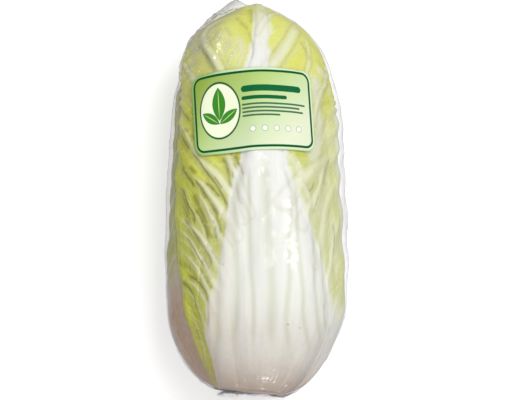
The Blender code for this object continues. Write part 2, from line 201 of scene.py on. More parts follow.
# Leaves: how far they reach round the head and how wide their midrib is, as (station, degrees), and
# how high the midrib is, as (station, metres)
OUTER_SPREAD = [(-0.047, 66), (0.0, 68), (0.050, 74), (0.100, 78), (0.149, 77)]
OUTER_RIB_WIDTH = [(-0.047, 48), (0.0, 38), (0.045, 27), (0.095, 16), (0.149, 9), (0.240, 5)]
OUTER_RIB_HEIGHT = [(-0.047, 0.0050), (0.0, 0.0052), (0.070, 0.0032), (0.149, 0.0016), (0.240, 0.0005)]
SPREAD_RANGE, TURN_SWAY, RIB_SWAY, TIP_RANGE = (0.94, 1.04), 4, 3, (100, 112)
FRONT_LEFT = [(-0.047, 68), (-0.010, 62), (0.030, 66), (0.085, 74), (0.149, 72)]
FRONT_RIGHT = [(-0.047, 76), (0.030, 78), (0.149, 76)]
FRONT_RIB_WIDTH = [(-0.047, 61), (-0.020, 54), (0.0, 48), (0.030, 41), (0.052, 31), (0.074, 22),
                   (0.099, 15), (0.149, 9), (0.175, 5.0), (0.200, 3.2), (0.240, 2.0)]
FRONT_RIB_CENTRE = [(-0.047, 8), (-0.020, 5), (0.0, 3), (0.030, 1), (0.060, 0), (0.110, 0),
                    (0.165, -3.0), (0.185, 0.5), (0.200, 1.5), (0.225, 2), (0.240, 2)]
FRONT_RIB_HEIGHT = [(-0.047, 0.0056), (0.0, 0.0056), (0.060, 0.0036), (0.149, 0.0018), (0.240, 0.0006)]

# How far the front midrib's white reaches to the left, as (station, share of its half width)
WHITE_LEFT = [(-0.043, 1.30), (-0.034, 1.10), (-0.024, 0.95), (-0.002, 0.80), (0.029, 0.72), (0.050, 0.80),
              (0.068, 1.00), (0.090, 1.40)]

# How olive the blades of the leaves beside the front one are. On leaf_3 and leaf_5, at the head's shaded
# left, this olive is partly painted shade
OLIVE_AND_SHADE_LEAVES = {"leaf_3": 0.85, "leaf_5": 0.95, "leaf_4": 0.25}
OLIVE_OTHERS = 0.35

# Light: name, place, size, power, and whether it lights surfaces or only shows as a gleam
WORLD_LIGHT = 0.56
FLOOR_GLOW = 0.30
LIGHTS = [
    ("key", (0.52, 0.20, 1.35), (0.8, 0.8), 11.2, True),
    ("fill", (0.0, -0.5, 1.4), (1.0, 1.0), 3.0, True),
    ("gleam", (1.05, 0.40, 1.00), (0.50, 0.07), 1.6, False),
    ("streak", (0.10, 0.40, 1.45), (0.16, 0.14), 0.5, False),
    ("low_gleam", (0.22, -1.38, 0.08), (0.20, 0.10), 1.1, False),
    ("crown_gleam", (-0.60, 0.90, 0.60), (0.08, 0.08), 0.42, False),
]

# What is drawn on a leaf for its material. The olive is partly the leaves' own tone and partly painted shade,
# and the darkening of creases and grooves is painted shade
DRAWN = ("vein", "crease", "groove", "olive", "bright", "pale")

Leaf = namedtuple("Leaf", "name turn left right rib_height rib_width rib_centre tip")
Detail = namedtuple("Detail", "rib blade rows")
Skin = namedtuple("Skin", "leaf angle along out_of_rib rise_row direction station inner rib places flow")

FRONT_DETAIL = Detail(rib=108, blade=60, rows=380)
OTHER_DETAIL = Detail(rib=44, blade=46, rows=196)
COARSE = 4

# How far from its path a stroke changes the skin, and the step of its path
VEIN_REACH, CREASE_REACH, PATH_STEP = 0.012, 0.006, 0.003


def smoothstep(low, high, value):
    share = np.clip((value - low) / (high - low), 0, 1)
    return share * share * (3 - 2 * share)


def curve_through(points, position):
    """Value at `position` of a smooth curve through (position, value) points."""
    places, values = np.array(points, dtype=float).T
    slopes = np.gradient(values, places)
    position = np.clip(position, places[0], places[-1])
    span = np.clip(np.searchsorted(places, position) - 1, 0, len(places) - 2)
    width = places[span + 1] - places[span]
    share = (position - places[span]) / width
    before = (1 + 2 * share) * (1 - share) ** 2
    start = share * (1 - share) ** 2 * width * slopes[span]
    end = share**2 * (share - 1) * width * slopes[span + 1]
    return before * values[span] + (1 - before) * values[span + 1] + start + end


def noise_at(places, size, seed=0):
    """Smooth noise from about -1 to 1, with lumps about `size` across, a metre or a vector of metres."""
    spots = (places / size).reshape(-1, places.shape[-1]) + seed * 17.3
    if spots.shape[1] == 2:
        spots = np.column_stack([spots, np.full(len(spots), seed * 5.1)])
    return np.array([noise.noise(spot) for spot in spots.tolist()]).reshape(places.shape[:-1])


def lumps_at(places, size, height, seed):
    """Lumps about `size` across that rise and sink by up to `height`."""
    return noise_at(places, size, seed) * height


def fall(off, width, power=2):
    """1 in the middle, fading out at about `width` from it."""
    return np.exp(-(off / width) ** power)


def ring_of(azimuth):
    """Ways straight out from the head's axis."""
    return np.stack([np.cos(azimuth), np.zeros(np.shape(azimuth)), np.sin(azimuth)], axis=-1)


def bulges(table, azimuth, along):
    """How far the bulges in a table stand out, at places on the head."""
    height = np.zeros(azimuth.shape)
    for turn, reach, place, length, rise in table:
        off = np.angle(np.exp(1j * (azimuth - turn)))
        height += rise * fall(off, reach) * fall(along - place, length, 4)
    return height


def grown(points):
    """Points of the chart's heart, moved to where they are in the grown head as it lies."""
    x, y, z = points[..., 0], points[..., 1], points[..., 2]
    taper = BUTT_TAPER * smoothstep(-TAPER_START, -TAPER_END, -y)
    width = WIDTH_SCALE - WAIST * smoothstep(WAIST_START, WAIST_END, y) - taper
    stretched = np.where(y > BODY_LENGTH, BODY_LENGTH + (y - BODY_LENGTH) * CROWN_STRETCH, y)
    height = z * (THICKNESS_SCALE - taper)
    depth = np.clip(-height - FLAT_DEPTH, 0, None)
    underneath = smoothstep(0, FLAT_RANGE, depth)
    height = height + FLAT_SHARE * depth * underneath - SAG * underneath * smoothstep(SAG_START, SAG_END, y)
    return np.stack([x * width, stretched, height], axis=-1) + PLACE


def outward_of(direction, station):
    """The grown heart's surface points and the way straight out from them."""
    core = CORE_RADIUS * direction + station[..., None] * AXIS
    step = 1e-5
    slopes = [(grown(core + step * side) - grown(core - step * side)) / (2 * step) for side in np.eye(3)]
    outward = np.linalg.solve(np.stack(slopes, axis=-2), direction[..., None])[..., 0]
    return grown(core), outward / np.linalg.norm(outward, axis=-1, keepdims=True)


def head_points(direction, station, height):
    """Points at `height` over the grown heart, straight out from its surface."""
    base, outward = outward_of(direction, station)
    return base + height[..., None] * outward


def facing_axes(turn):
    """The way a leaf faces, and the way across it."""
    facing = np.array([math.cos(turn), 0.0, math.sin(turn)])
    across = np.array([math.sin(turn), 0.0, -math.cos(turn)])
    return facing, across


def leaf_directions(turn, angle, along):
    """Chart directions and stations at `angle` to the side of a leaf's middle, `along` its length."""
    crown = np.clip((along - BODY_LENGTH) / CORE_RADIUS, 0, None)
    butt = np.clip(-along / CORE_RADIUS, 0, None)
    facing, across = facing_axes(turn)
    out = np.cos(angle) * np.cos(crown) * np.cos(butt)
    side = np.sin(angle) * np.cos(butt)
    up = np.cos(angle) * np.sin(crown) - np.sin(butt)
    direction = out[..., None] * facing + side[..., None] * across + up[..., None] * AXIS
    return direction, np.clip(along, 0, BODY_LENGTH)


def ring_directions(azimuth, along):
    """Chart directions and stations on rings round the head's axis, up to the crown's pole."""
    tilt = np.clip((along - BODY_LENGTH) / CORE_RADIUS, 0, None) - np.clip(-along / CORE_RADIUS, 0, None)
    level = np.cos(tilt)
    direction = np.stack([level * np.cos(azimuth), np.sin(tilt), level * np.sin(azimuth)], axis=-1)
    return direction, np.clip(along, 0, BODY_LENGTH)


def leaf_place(leaf, direction, station):
    """Where chart directions lie on a leaf: the angle across, the length along, the angle from its cap."""
    facing, across = facing_axes(leaf.turn)
    out, side, up = direction @ facing, direction @ across, direction @ AXIS
    in_crown = up > 0
    round_angle = np.arctan2(side, out)
    angle = np.where(in_crown, np.arcsin(np.clip(side, -1, 1)), round_angle)
    climb = CORE_RADIUS * np.where(in_crown, np.arctan2(up, out), np.arcsin(np.clip(up, -1, 1)))
    from_cap = np.where(in_crown, out * math.cos(CAP_TILT) + up * math.sin(CAP_TILT),
                        np.cos(round_angle) * math.cos(CAP_TILT))
    return angle, station + climb, np.arccos(np.clip(from_cap, -1, 1))


def half_spread(leaf, angle, along):
    """How far round the head a leaf reaches, on the side that `angle` is on."""
    right_share = smoothstep(-0.5, 0.5, angle)
    return (curve_through(leaf.left, along) * (1 - right_share)
            + curve_through(leaf.right, along) * right_share)


def rib_at(leaf, along):
    """The midrib's middle and its half width, as angles round the head."""
    return curve_through(leaf.rib_centre, along), curve_through(leaf.rib_width, along)


def rib_swell(off_middle):
    """Share of the midrib's height, from 1 along its middle to 0 at its edges."""
    return np.clip(1 - off_middle**4, 0, None) ** 1.5


def cover(leaf, direction, station):
    """Room that a leaf takes up under the leaves that lie over it."""
    angle, along, from_cap = leaf_place(leaf, direction, station)
    spread = half_spread(leaf, angle, along)
    edge = np.arccos(np.cos(spread) * math.cos(CAP_TILT))
    within = 1 - smoothstep(MASK_START, MASK_END, (from_cap - edge) * CORE_RADIUS)
    centre, width = rib_at(leaf, along)
    off_rib = np.abs(angle - centre) / (width + COVER_SPREAD)
    rib = curve_through(leaf.rib_height, along) * rib_swell(off_rib)
    ruffle = RUFFLE * smoothstep(0.3, 0.9, np.abs(angle) / spread)
    return within * (BLADE + VEIN + ruffle + rib + LEAF_GAP)


def stack_height(leaves, direction, station):
    return HEART_GAP + sum(cover(leaf, direction, station) for leaf in leaves)


def in_radians(points, factor=1):
    """(position, degrees) points, with the degrees times a factor and in radians."""
    return [(at, math.radians(degrees * factor)) for at, degrees in points]


def make_leaves():
    """The outer leaves, from the innermost to the front one, each a golden turn from the next."""
    random = np.random.default_rng(11)
    leaves = []
    for place in range(OUTER_LEAVES - 1):
        left, right, width = random.uniform(*SPREAD_RANGE, 3)
        leaves.append(Leaf(
            name=f"leaf_{place + 1}",
            turn=FRONT_TURN + (OUTER_LEAVES - 1 - place) * GOLDEN_TURN
            + math.radians(random.uniform(-TURN_SWAY, TURN_SWAY)),
            left=in_radians(OUTER_SPREAD, left),
            right=in_radians(OUTER_SPREAD, right),
            rib_height=OUTER_RIB_HEIGHT,
            rib_width=in_radians(OUTER_RIB_WIDTH, width),
            rib_centre=in_radians([(-0.047, 0.0), (0.100, random.uniform(-RIB_SWAY, RIB_SWAY)),
                                   (0.240, 0.0)]),
            tip=math.radians(random.uniform(*TIP_RANGE))))
    wider = [(at, angle + MARGIN_UNDER * (1 - smoothstep(0.03, 0.10, at))) for at, angle in leaves[-1].right]
    leaves[-1] = leaves[-1]._replace(right=wider)
    leaves.append(Leaf(
        name="front_leaf", turn=FRONT_TURN,
        left=in_radians(FRONT_LEFT), right=in_radians(FRONT_RIGHT),
        rib_height=FRONT_RIB_HEIGHT, rib_width=in_radians(FRONT_RIB_WIDTH),
        rib_centre=in_radians(FRONT_RIB_CENTRE), tip=math.radians(TIP_RANGE[1])))
    return leaves


def leaf_grid(leaf, side, row):
    """Angles across, lengths along and shares out of the midrib, at sides from -1 to 1 and rows from 0 to 1.

    The rows leave the midrib as the veins do, rising towards the margin, and end at the tip.
    """
    out_of_rib = np.clip((np.abs(side) - RIB_EDGE) / (1 - RIB_EDGE), 0, 1)
    start = -CUT_ANGLE * CORE_RADIUS
    top = BODY_LENGTH + CORE_RADIUS * leaf.tip
    rise = VEIN_RISE * smoothstep(0, RISE_GROWN, row) * (1 - smoothstep(RISE_FADES, 1, row))
    middle = start + (top - start) * row
    along = middle + rise * out_of_rib**VEIN_CURVE
    crown = np.clip((middle + rise - BODY_LENGTH) / CORE_RADIUS, 0, leaf.tip)
    rounded = np.clip(1 - (crown / leaf.tip) ** 2.5, TIP_WIDTH, 1) ** 0.55
    spread = half_spread(leaf, np.sign(side), middle + rise) * rounded
    centre, rib_width = rib_at(leaf, along)
    rib_width = np.minimum(rib_width, 0.8 * spread)
    on_rib = centre + rib_width * side / RIB_EDGE
    off_rib = spread * out_of_rib + rib_width * (1 - out_of_rib)
    on_blade = np.sign(side) * off_rib + centre * (1 - out_of_rib)
    angle = np.where(np.abs(side) <= RIB_EDGE, on_rib, on_blade)
    return angle, along, out_of_rib


def rim_points(azimuth, radius, short):
    """Points on the rim of the cut, which slants a little. `short` is how far they stop before it."""
    ring = ring_of(azimuth)
    reach = CUT_REACH + CUT_SLANT * ring[..., 2] + CUT_LEAN * ring[..., 0] - short
    return grown(radius[..., None] * ring - reach[..., None] * AXIS)


def run_to_cut(face, skin, radius, short):
    """A leaf's face with its lower end drawn out, from the head's curve to the rim of the cut."""
    middle = skin.along.shape[1] // 2
    anchor = int(np.argmin(np.abs(skin.along[:, middle] - FLARE_START)))
    start = face[anchor]
    heading = start - face[anchor + 5]
    heading /= np.linalg.norm(heading, axis=-1, keepdims=True)
    azimuth = np.arctan2(skin.direction[anchor, :, 2], skin.direction[anchor, :, 0])
    if skin.leaf.name == "front_leaf":
        azimuth = azimuth + RIM_TURN * smoothstep(0.3, 1.1, -skin.angle[anchor])
    rim = rim_points(azimuth, radius, short)
    bend = start + heading * RUN_BEND * np.linalg.norm(rim - start, axis=-1, keepdims=True)
    run = face.copy()
    for row in range(anchor):
        share = 1 - row / anchor
        run[row] = start * (1 - share) ** 2 + bend * 2 * share * (1 - share) + rim * share**2
    return run


def make_skin(leaf, under, detail):
    """A leaf's fine grid on the chart, with its inner face's height and the texture's own places."""
    columns = detail.rib + 2 * detail.blade
    rib_share = detail.rib / columns
    even = np.linspace(-1, 1, columns + 1)
    on_rib = even / rib_share * RIB_EDGE
    on_blade = np.sign(even) * (RIB_EDGE + (1 - RIB_EDGE) * (np.abs(even) - rib_share) / (1 - rib_share))
    side, row = np.meshgrid(np.where(np.abs(even) <= rib_share, on_rib, on_blade),
                            np.linspace(0, 1, detail.rows + 1))
    angle, along, out_of_rib = leaf_grid(leaf, side, row)
    direction, station = leaf_directions(leaf.turn, angle, along)
    wave = 0.5 + 0.5 * np.cos(math.pi * RUFFLE_ROWS * row + 2.5 * np.sign(side))
    ruffle = RUFFLE * wave * smoothstep(0.3, 0.9, out_of_rib)
    azimuth = np.arctan2(direction[..., 2], direction[..., 0])
    inner = stack_height(under, direction, station) + ruffle + bulges(SWELLS, azimuth, along)
    if leaf.name == "front_leaf":
        near_base = 1 - smoothstep(0.02, 0.06, along)
        inner -= EDGE_CURL * smoothstep(0.70, 1.0, out_of_rib) * (side < 0) * near_base
    centre, width = rib_at(leaf, along)
    rib = curve_through(leaf.rib_height, along) * rib_swell(np.abs(angle - centre) / width)
    length = (leaf.tip + CUT_ANGLE) * CORE_RADIUS + BODY_LENGTH
    flow = np.stack([row * length, np.abs(angle) * SKIN_RADIUS], axis=-1)
    in_rib = (out_of_rib <= 0)[..., None]
    places = np.stack([angle * SKIN_RADIUS, along], axis=-1)
    flow = np.where(in_rib, places + [0.3, 0], flow)
    return Skin(leaf, angle, along, out_of_rib, row, direction, station, inner, rib, places, flow)


def camera_axes():
    """The camera's ways to the right, up and back."""
    back = np.array([0.0, -math.cos(CAMERA_LIFT), math.sin(CAMERA_LIFT)])
    right = np.array([1.0, 0.0, 0.0])
    return right, np.cross(back, right), back


def pixels_of(points):
    """Where points are seen in the picture."""
    right, up, back = camera_axes()
    offset = points - (AIM + CAMERA_DISTANCE * back)
    scale = PICTURE_WIDTH * LENS / SENSOR / -(offset @ back)
    return np.stack([PICTURE_WIDTH / 2 + scale * (offset @ right),
                     PICTURE_HEIGHT / 2 - scale * (offset @ up)], axis=-1)


# Strokes: veins, creases, grooves and washes of colour

# Front leaf's veins: width in mm at the start and the end, height in mm, and the pixels they pass
FRONT_VEINS = [
    ((6.0, 3.4), 1.3, [(232, 90), (224, 78), (219, 68), (212, 56), (205, 45), (203, 37), (207, 30),
     (214, 25), (222, 20), (230, 17), (238, 15)]),
    ((7.0, 4.6), 1.2, [(260, 84), (269, 69), (277, 59), (283, 51), (290, 40), (295, 30), (298, 23)]),
    ((1.2, 0.7), 0.5, [(219, 66), (223, 55), (229, 45), (236, 36)]),
    ((1.2, 0.7), 0.5, [(228, 66), (233, 55), (239, 46), (246, 36)]),
    ((1.1, 0.6), 0.5, [(238, 67), (242, 57), (247, 48)]),
    ((1.0, 0.6), 0.4, [(214, 56), (216, 47), (222, 38), (227, 32)]),
    ((1.0, 0.6), 0.4, [(210, 50), (211, 42), (215, 36)]),
    ((2.6, 1.2), 0.7, [(257, 32), (262, 23), (266, 18), (277, 14), (284, 14)]),
    ((1.2, 0.6), 0.4, [(259, 48), (266, 40), (275, 31), (283, 25)]),
    ((1.2, 0.6), 0.4, [(262, 60), (268, 50), (275, 43)]),
    ((1.4, 0.7), 0.4, [(283, 64), (292, 54), (302, 46), (307, 40)]),
    ((2.4, 2.0), 0.7, [(306, 74), (309, 60), (308, 46), (302, 32)]),
    ((4.6, 3.4), 0.9, [(313, 122), (317, 105), (321, 92), (325, 78), (325, 64), (318, 48), (309, 33)]),
    ((1.4, 1.0), 0.4, [(318, 150), (325, 135), (331, 120), (335, 105)]),
    ((5.6, 4.6), 1.1, [(249, 214), (243, 198), (239, 188), (235, 174), (229, 158), (224, 146)]),
    ((6.6, 4.4), 1.2, [(243, 218), (236, 203), (230, 192), (222, 182), (214, 172), (206, 166), (198, 158),
     (190, 149)]),
    ((6.2, 2.2), 1.1, [(236, 236), (229, 222), (223, 212), (217, 203), (210, 194), (204, 186), (197, 180),
     (189, 172)]),
    ((4.6, 1.6), 1.0, [(229, 254), (222, 240), (217, 230), (214, 222), (210, 213), (206, 205), (200, 196),
     (194, 188)]),
    ((1.4, 0.8), 0.6, [(206, 238), (202, 226), (197, 216), (190, 205), (185, 192), (183, 184)]),
    ((5.0, 2.0), 0.9, [(226, 284), (219, 268), (211, 252), (204, 241), (197, 232), (190, 226), (183, 221),
     (176, 216)]),
    ((3.4, 1.4), 0.8, [(217, 290), (211, 276), (205, 264), (198, 254), (192, 243), (185, 234),
     (177, 228)]),
    ((2.8, 1.2), 0.7, [(214, 312), (210, 296), (204, 281), (197, 268), (189, 258), (180, 248),
     (174, 243)]),
    ((1.2, 0.8), 0.5, [(200, 264), (194, 252), (187, 244), (180, 238)]),
    ((2.2, 1.0), 0.6, [(211, 328), (208, 308), (201, 293), (192, 283), (183, 279), (176, 278)]),
    ((1.6, 1.0), 0.5, [(208, 344), (204, 325), (198, 306), (190, 294), (182, 287)]),
    ((1.4, 1.0), 0.5, [(207, 362), (203, 345), (197, 326), (190, 308)]),
    ((8.5, 6.0), 1.0, [(284, 202), (293, 190), (300, 182), (307, 175), (314, 169), (324, 161), (334, 153),
     (341, 146)]),
    ((7.0, 3.0), 0.9, [(302, 224), (308, 210), (315, 198), (320, 186), (322, 174), (325, 164)]),
    ((7.0, 5.0), 0.8, [(315, 262), (320, 244), (323, 228), (325, 212), (329, 196), (336, 180),
     (341, 172)]),
    ((4.6, 2.6), 0.7, [(324, 300), (327, 280), (331, 258), (334, 238), (338, 220), (342, 206)]),
    ((1.0, 0.7), 0.5, [(329, 312), (333, 298), (338, 286), (342, 278)]),
    ((1.0, 0.7), 0.5, [(330, 326), (334, 310), (339, 298), (343, 290)]),
    ((1.0, 0.7), 0.5, [(332, 296), (336, 282), (341, 272)]),
    ((1.0, 0.7), 0.5, [(334, 280), (338, 268), (342, 260)]),
    ((3.0, 1.4), 0.7, [(198, 158), (190, 142), (185, 131), (179, 122), (173, 110)]),
    ((3.4, 2.6), 0.8, [(198, 92), (194, 80), (190, 74), (182, 62)]),
    ((1.4, 0.8), 0.5, [(197, 110), (188, 102), (181, 92)]),
]

# Front leaf's creases, each painted darker as shade along its notch: width in mm, depth in mm, and the pixels
# they pass
FRONT_CREASES = [
    (0.7, 1.0, [(191, 151), (199, 161), (206, 172), (212, 179), (217, 187), (222, 195), (227, 207),
     (228, 213)]),
    (0.7, 0.8, [(204, 183), (210, 186), (215, 192), (221, 198)]),
    (0.8, 1.0, [(194, 178), (199, 186), (205, 195), (210, 203), (217, 214), (220, 218)]),
    (0.5, 0.6, [(182, 166), (186, 174), (192, 182), (195, 189)]),
    (0.6, 0.8, [(194, 207), (199, 216), (204, 226), (207, 237), (209, 244)]),
    (0.6, 0.7, [(182, 187), (185, 196), (189, 207), (193, 213), (194, 221), (195, 227)]),
    (0.6, 0.8, [(183, 218), (189, 225), (194, 232), (198, 240), (204, 249), (210, 258), (212, 272)]),
    (0.5, 0.5, [(186, 236), (193, 246), (199, 258), (205, 268)]),
    (0.8, 0.9, [(221, 156), (225, 163), (228, 172), (230, 182), (232, 191)]),
    (0.8, 0.9, [(234, 154), (238, 163), (241, 170), (243, 177)]),
    (0.6, 0.7, [(211, 205), (215, 214), (219, 224), (221, 236)]),
    (0.6, 0.7, [(213, 219), (215, 228), (216, 240)]),
    (0.6, 0.8, [(177, 274), (186, 275), (193, 278), (199, 283), (204, 290), (208, 303), (208, 318),
     (207, 332)]),
    (0.5, 0.6, [(180, 281), (188, 287), (194, 298), (198, 312)]),
    (0.7, 1.1, [(250, 8), (251, 15), (251, 24)]),
    (0.7, 1.0, [(247, 29), (250, 36), (252, 45), (252, 55), (249, 63)]),
    (0.5, 0.4, [(235, 17), (240, 21), (245, 26), (249, 31)]),
    (0.4, 0.4, [(223, 27), (218, 32), (214, 38), (209, 42)]),
    (0.5, 0.6, [(225, 27), (228, 32), (232, 37)]),
    (0.9, 0.7, [(201, 47), (204, 53), (208, 58), (212, 65), (216, 71)]),
    (0.6, 0.5, [(260, 9), (265, 13), (270, 17)]),
    (0.5, 0.5, [(330, 158), (328, 164), (326, 171), (325, 178), (325, 188)]),
    (0.5, 0.4, [(314, 181), (313, 187), (309, 192)]),
    (0.4, 0.3, [(319, 194), (316, 204), (313, 214)]),
    (0.4, 0.2, [(333, 222), (334, 240), (334, 258)]),
    (0.4, 0.7, [(176, 96), (178, 102), (182, 109), (186, 116), (190, 122)]),
    (0.5, 0.8, [(172, 116), (175, 124), (181, 135), (185, 142), (190, 150)]),
    (0.6, 0.6, [(193, 84), (196, 96), (195, 110)]),
    (0.6, 0.5, [(300, 40), (306, 50), (310, 62)]),
]

# Grooves between the midrib's ridges, each tinted grey-green as painted shade: width in mm, depth in mm, and
# the pixels they pass
FRONT_GROOVES = [
    (3.0, 1.0, [(228, 212), (221, 240), (218, 265), (217, 290), (216, 315), (216, 340), (215, 362),
     (217, 382)]),
    (3.0, 1.1, [(241, 162), (237, 185), (234, 210), (234, 240), (236, 265), (236, 290), (235, 315),
     (232, 340), (229, 372)]),
    (1.8, 0.7, [(248, 160), (248, 190), (249, 215), (249, 240), (250, 265), (252, 290), (253, 315),
     (252, 372)]),
    (3.4, 1.3, [(262, 148), (264, 170), (265, 190), (267, 215), (268, 240), (270, 265), (272, 290),
     (272, 340), (274, 372)]),
    (1.8, 0.6, [(280, 158), (288, 178), (292, 196), (292, 215), (289, 240), (290, 265), (288, 340),
     (290, 372)]),
    (1.8, 0.6, [(290, 158), (296, 190), (298, 215), (298, 240), (301, 265), (304, 290), (304, 315),
     (308, 340), (306, 368)]),
    (2.4, 0.7, [(297, 165), (305, 180), (312, 195), (312, 215), (314, 240), (315, 265), (316, 290),
     (318, 315), (319, 352)]),
    (2.0, 0.6, [(318, 226), (321, 245), (323, 265), (324, 290), (325, 315), (330, 338)]),
]

# Washes of colour on the front leaf: width in mm, amount, and the pixels they pass. The olive washes are
# partly the leaf's own tone and partly painted shade, as shadow strips beside folds and along the head's
# shaded left side
FRONT_WASHES = {
    "bright": [
        (3.4, 1.0, [(187, 158), (194, 168), (202, 175), (209, 182), (216, 192), (223, 203)]),
        (5.0, 1.0, [(212, 156), (217, 166), (223, 176), (228, 190)]),
        (2.0, 1.0, [(234, 155), (238, 163), (242, 174)]),
        (4.5, 0.8, [(200, 54), (203, 60), (204, 67)]),
        (7.0, 0.8, [(318, 88), (320, 110), (320, 140), (315, 168)]),
        (3.4, 1.0, [(327, 168), (331, 190), (333, 215)]),
        (2.5, 0.9, [(316, 190), (316, 208)]),
        (3.0, 0.8, [(340, 226), (341, 250), (340, 285), (338, 312)]),
        (3.0, 0.5, [(187, 306), (196, 335), (201, 362)]),
        (6.5, 1.0, [(212, 44), (219, 56), (226, 64)]),
        (6.5, 1.0, [(226, 30), (234, 44), (240, 60)]),
        (6.0, 1.0, [(178, 80), (180, 96), (184, 108), (184, 124)]),
        (5.0, 1.0, [(178, 78), (183, 100), (187, 124), (190, 142)]),
        (6.5, 1.0, [(321, 84), (325, 110), (326, 136), (322, 158)]),
    ],
    "pale": [
        (5.0, 0.45, [(178, 84), (180, 100), (180, 118)]),
        (4.0, 0.9, [(290, 157), (297, 166), (303, 178)]),
        (3.6, 0.9, [(300, 180), (306, 190), (311, 202)]),
        (7.0, 0.35, [(222, 36), (230, 46), (236, 58)]),
        (4.5, 0.9, [(294, 184), (304, 205), (312, 230), (318, 256), (323, 284)]),
        (5.0, 1.0, [(336, 106), (340, 140), (342, 165), (343, 190), (343, 220), (342, 250)]),
        (2.6, 0.8, [(331, 218), (331, 240), (330, 262), (329, 290), (332, 320)]),
        (2.4, 0.7, [(320, 196), (320, 214), (321, 232)]),
        (3.0, 0.7, [(318, 70), (327, 84), (332, 98)]),
        (2.6, 0.6, [(238, 40), (243, 47), (241, 56)]),
        (6.5, 1.0, [(316, 84), (318, 110), (319, 136), (314, 156)]),
    ],
    "olive": [
        (2.6, 1.0, [(195, 197), (199, 206), (203, 215), (206, 225), (209, 236)]),
        (1.8, 0.9, [(191, 168), (195, 172)]),
        (1.6, 0.3, [(188, 92), (192, 100), (193, 111), (192, 124), (192, 136), (193, 146)]),
        (2.0, 1.0, [(200, 46), (206, 55), (211, 65), (214, 70)]),
        (2.8, 0.3, [(170, 116), (172, 124), (178, 136), (184, 146)]),
        (1.6, 0.7, [(205, 209), (212, 225), (217, 239), (219, 252), (220, 261)]),
        (1.4, 0.6, [(198, 239), (206, 252), (211, 264), (213, 277)]),
        (1.4, 0.6, [(193, 271), (202, 283), (207, 293), (208, 306), (207, 325)]),
        (4.5, 0.5, [(192, 292), (196, 315), (199, 335)]),
        (7.0, 0.45, [(226, 225), (223, 255), (222, 290), (222, 330)]),
        (7.0, 1.0, [(170, 170), (172, 190), (173, 215), (173, 240), (174, 262), (180, 290)]),
        (4.0, 0.9, [(180, 290), (186, 315), (191, 340), (196, 365), (203, 384)]),
        (4.0, 0.5, [(184, 205), (188, 225), (192, 250), (196, 275)]),
        (2.6, 0.7, [(182, 190), (186, 205), (189, 220), (192, 235)]),
        (2.0, 0.6, [(206, 199), (210, 208), (214, 220)]),
        (2.0, 0.7, [(188, 228), (195, 240), (202, 256), (208, 270)]),
        (2.6, 0.6, [(180, 262), (190, 268), (200, 280)]),
        (1.6, 0.7, [(202, 250), (208, 262), (211, 278)]),
    ],
}


def path_through(points, step):
    """Points about `step` apart on a smooth curve through a few points."""
    points = np.array(points, dtype=float)
    reach = np.concatenate([[0], np.cumsum(np.linalg.norm(np.diff(points, axis=0), axis=1))])
    count = max(3, round(reach[-1] / step) + 1)
    at = np.linspace(0, reach[-1], count)
    return np.stack([curve_through(np.column_stack([reach, values]), at) for values in points.T], axis=-1)


def spots_on(skin, pixels, seen, facing):
    """Places on a leaf's skin at pixels of the picture, without those that it isn't seen at."""
    spots = []
    for pixel in np.array(pixels, dtype=float):
        off = np.where(facing, np.sum((seen - pixel) ** 2, axis=-1), np.inf).ravel()
        nearest = np.argpartition(off, 5)[:5]
        if off[nearest].min() < 6:
            weight = 1 / (off[nearest] + 0.1)
            spots.append(weight @ skin.places.reshape(-1, 2)[nearest] / weight.sum())
    return np.array(spots)


def near_path(places, path, reach):
    """Which places are near a path, how far from it, and how far along it from 0 to 1."""
    flat = places.reshape(-1, 2)
    near = np.flatnonzero(np.all((flat > path.min(0) - reach) & (flat < path.max(0) + reach), axis=1))
    spots = flat[near]
    best = np.full(len(near), np.inf)
    share = np.zeros(len(near))
    for number, (start, end) in enumerate(zip(path, path[1:])):
        span = end - start
        at = np.clip((spots - start) @ span / (span @ span + 1e-18), 0, 1)
        off = np.linalg.norm(spots - start - at[:, None] * span, axis=1)
        closer = off < best
        best[closer] = off[closer]
        share[closer] = (number + at[closer]) / (len(path) - 1)
    return near, best, share


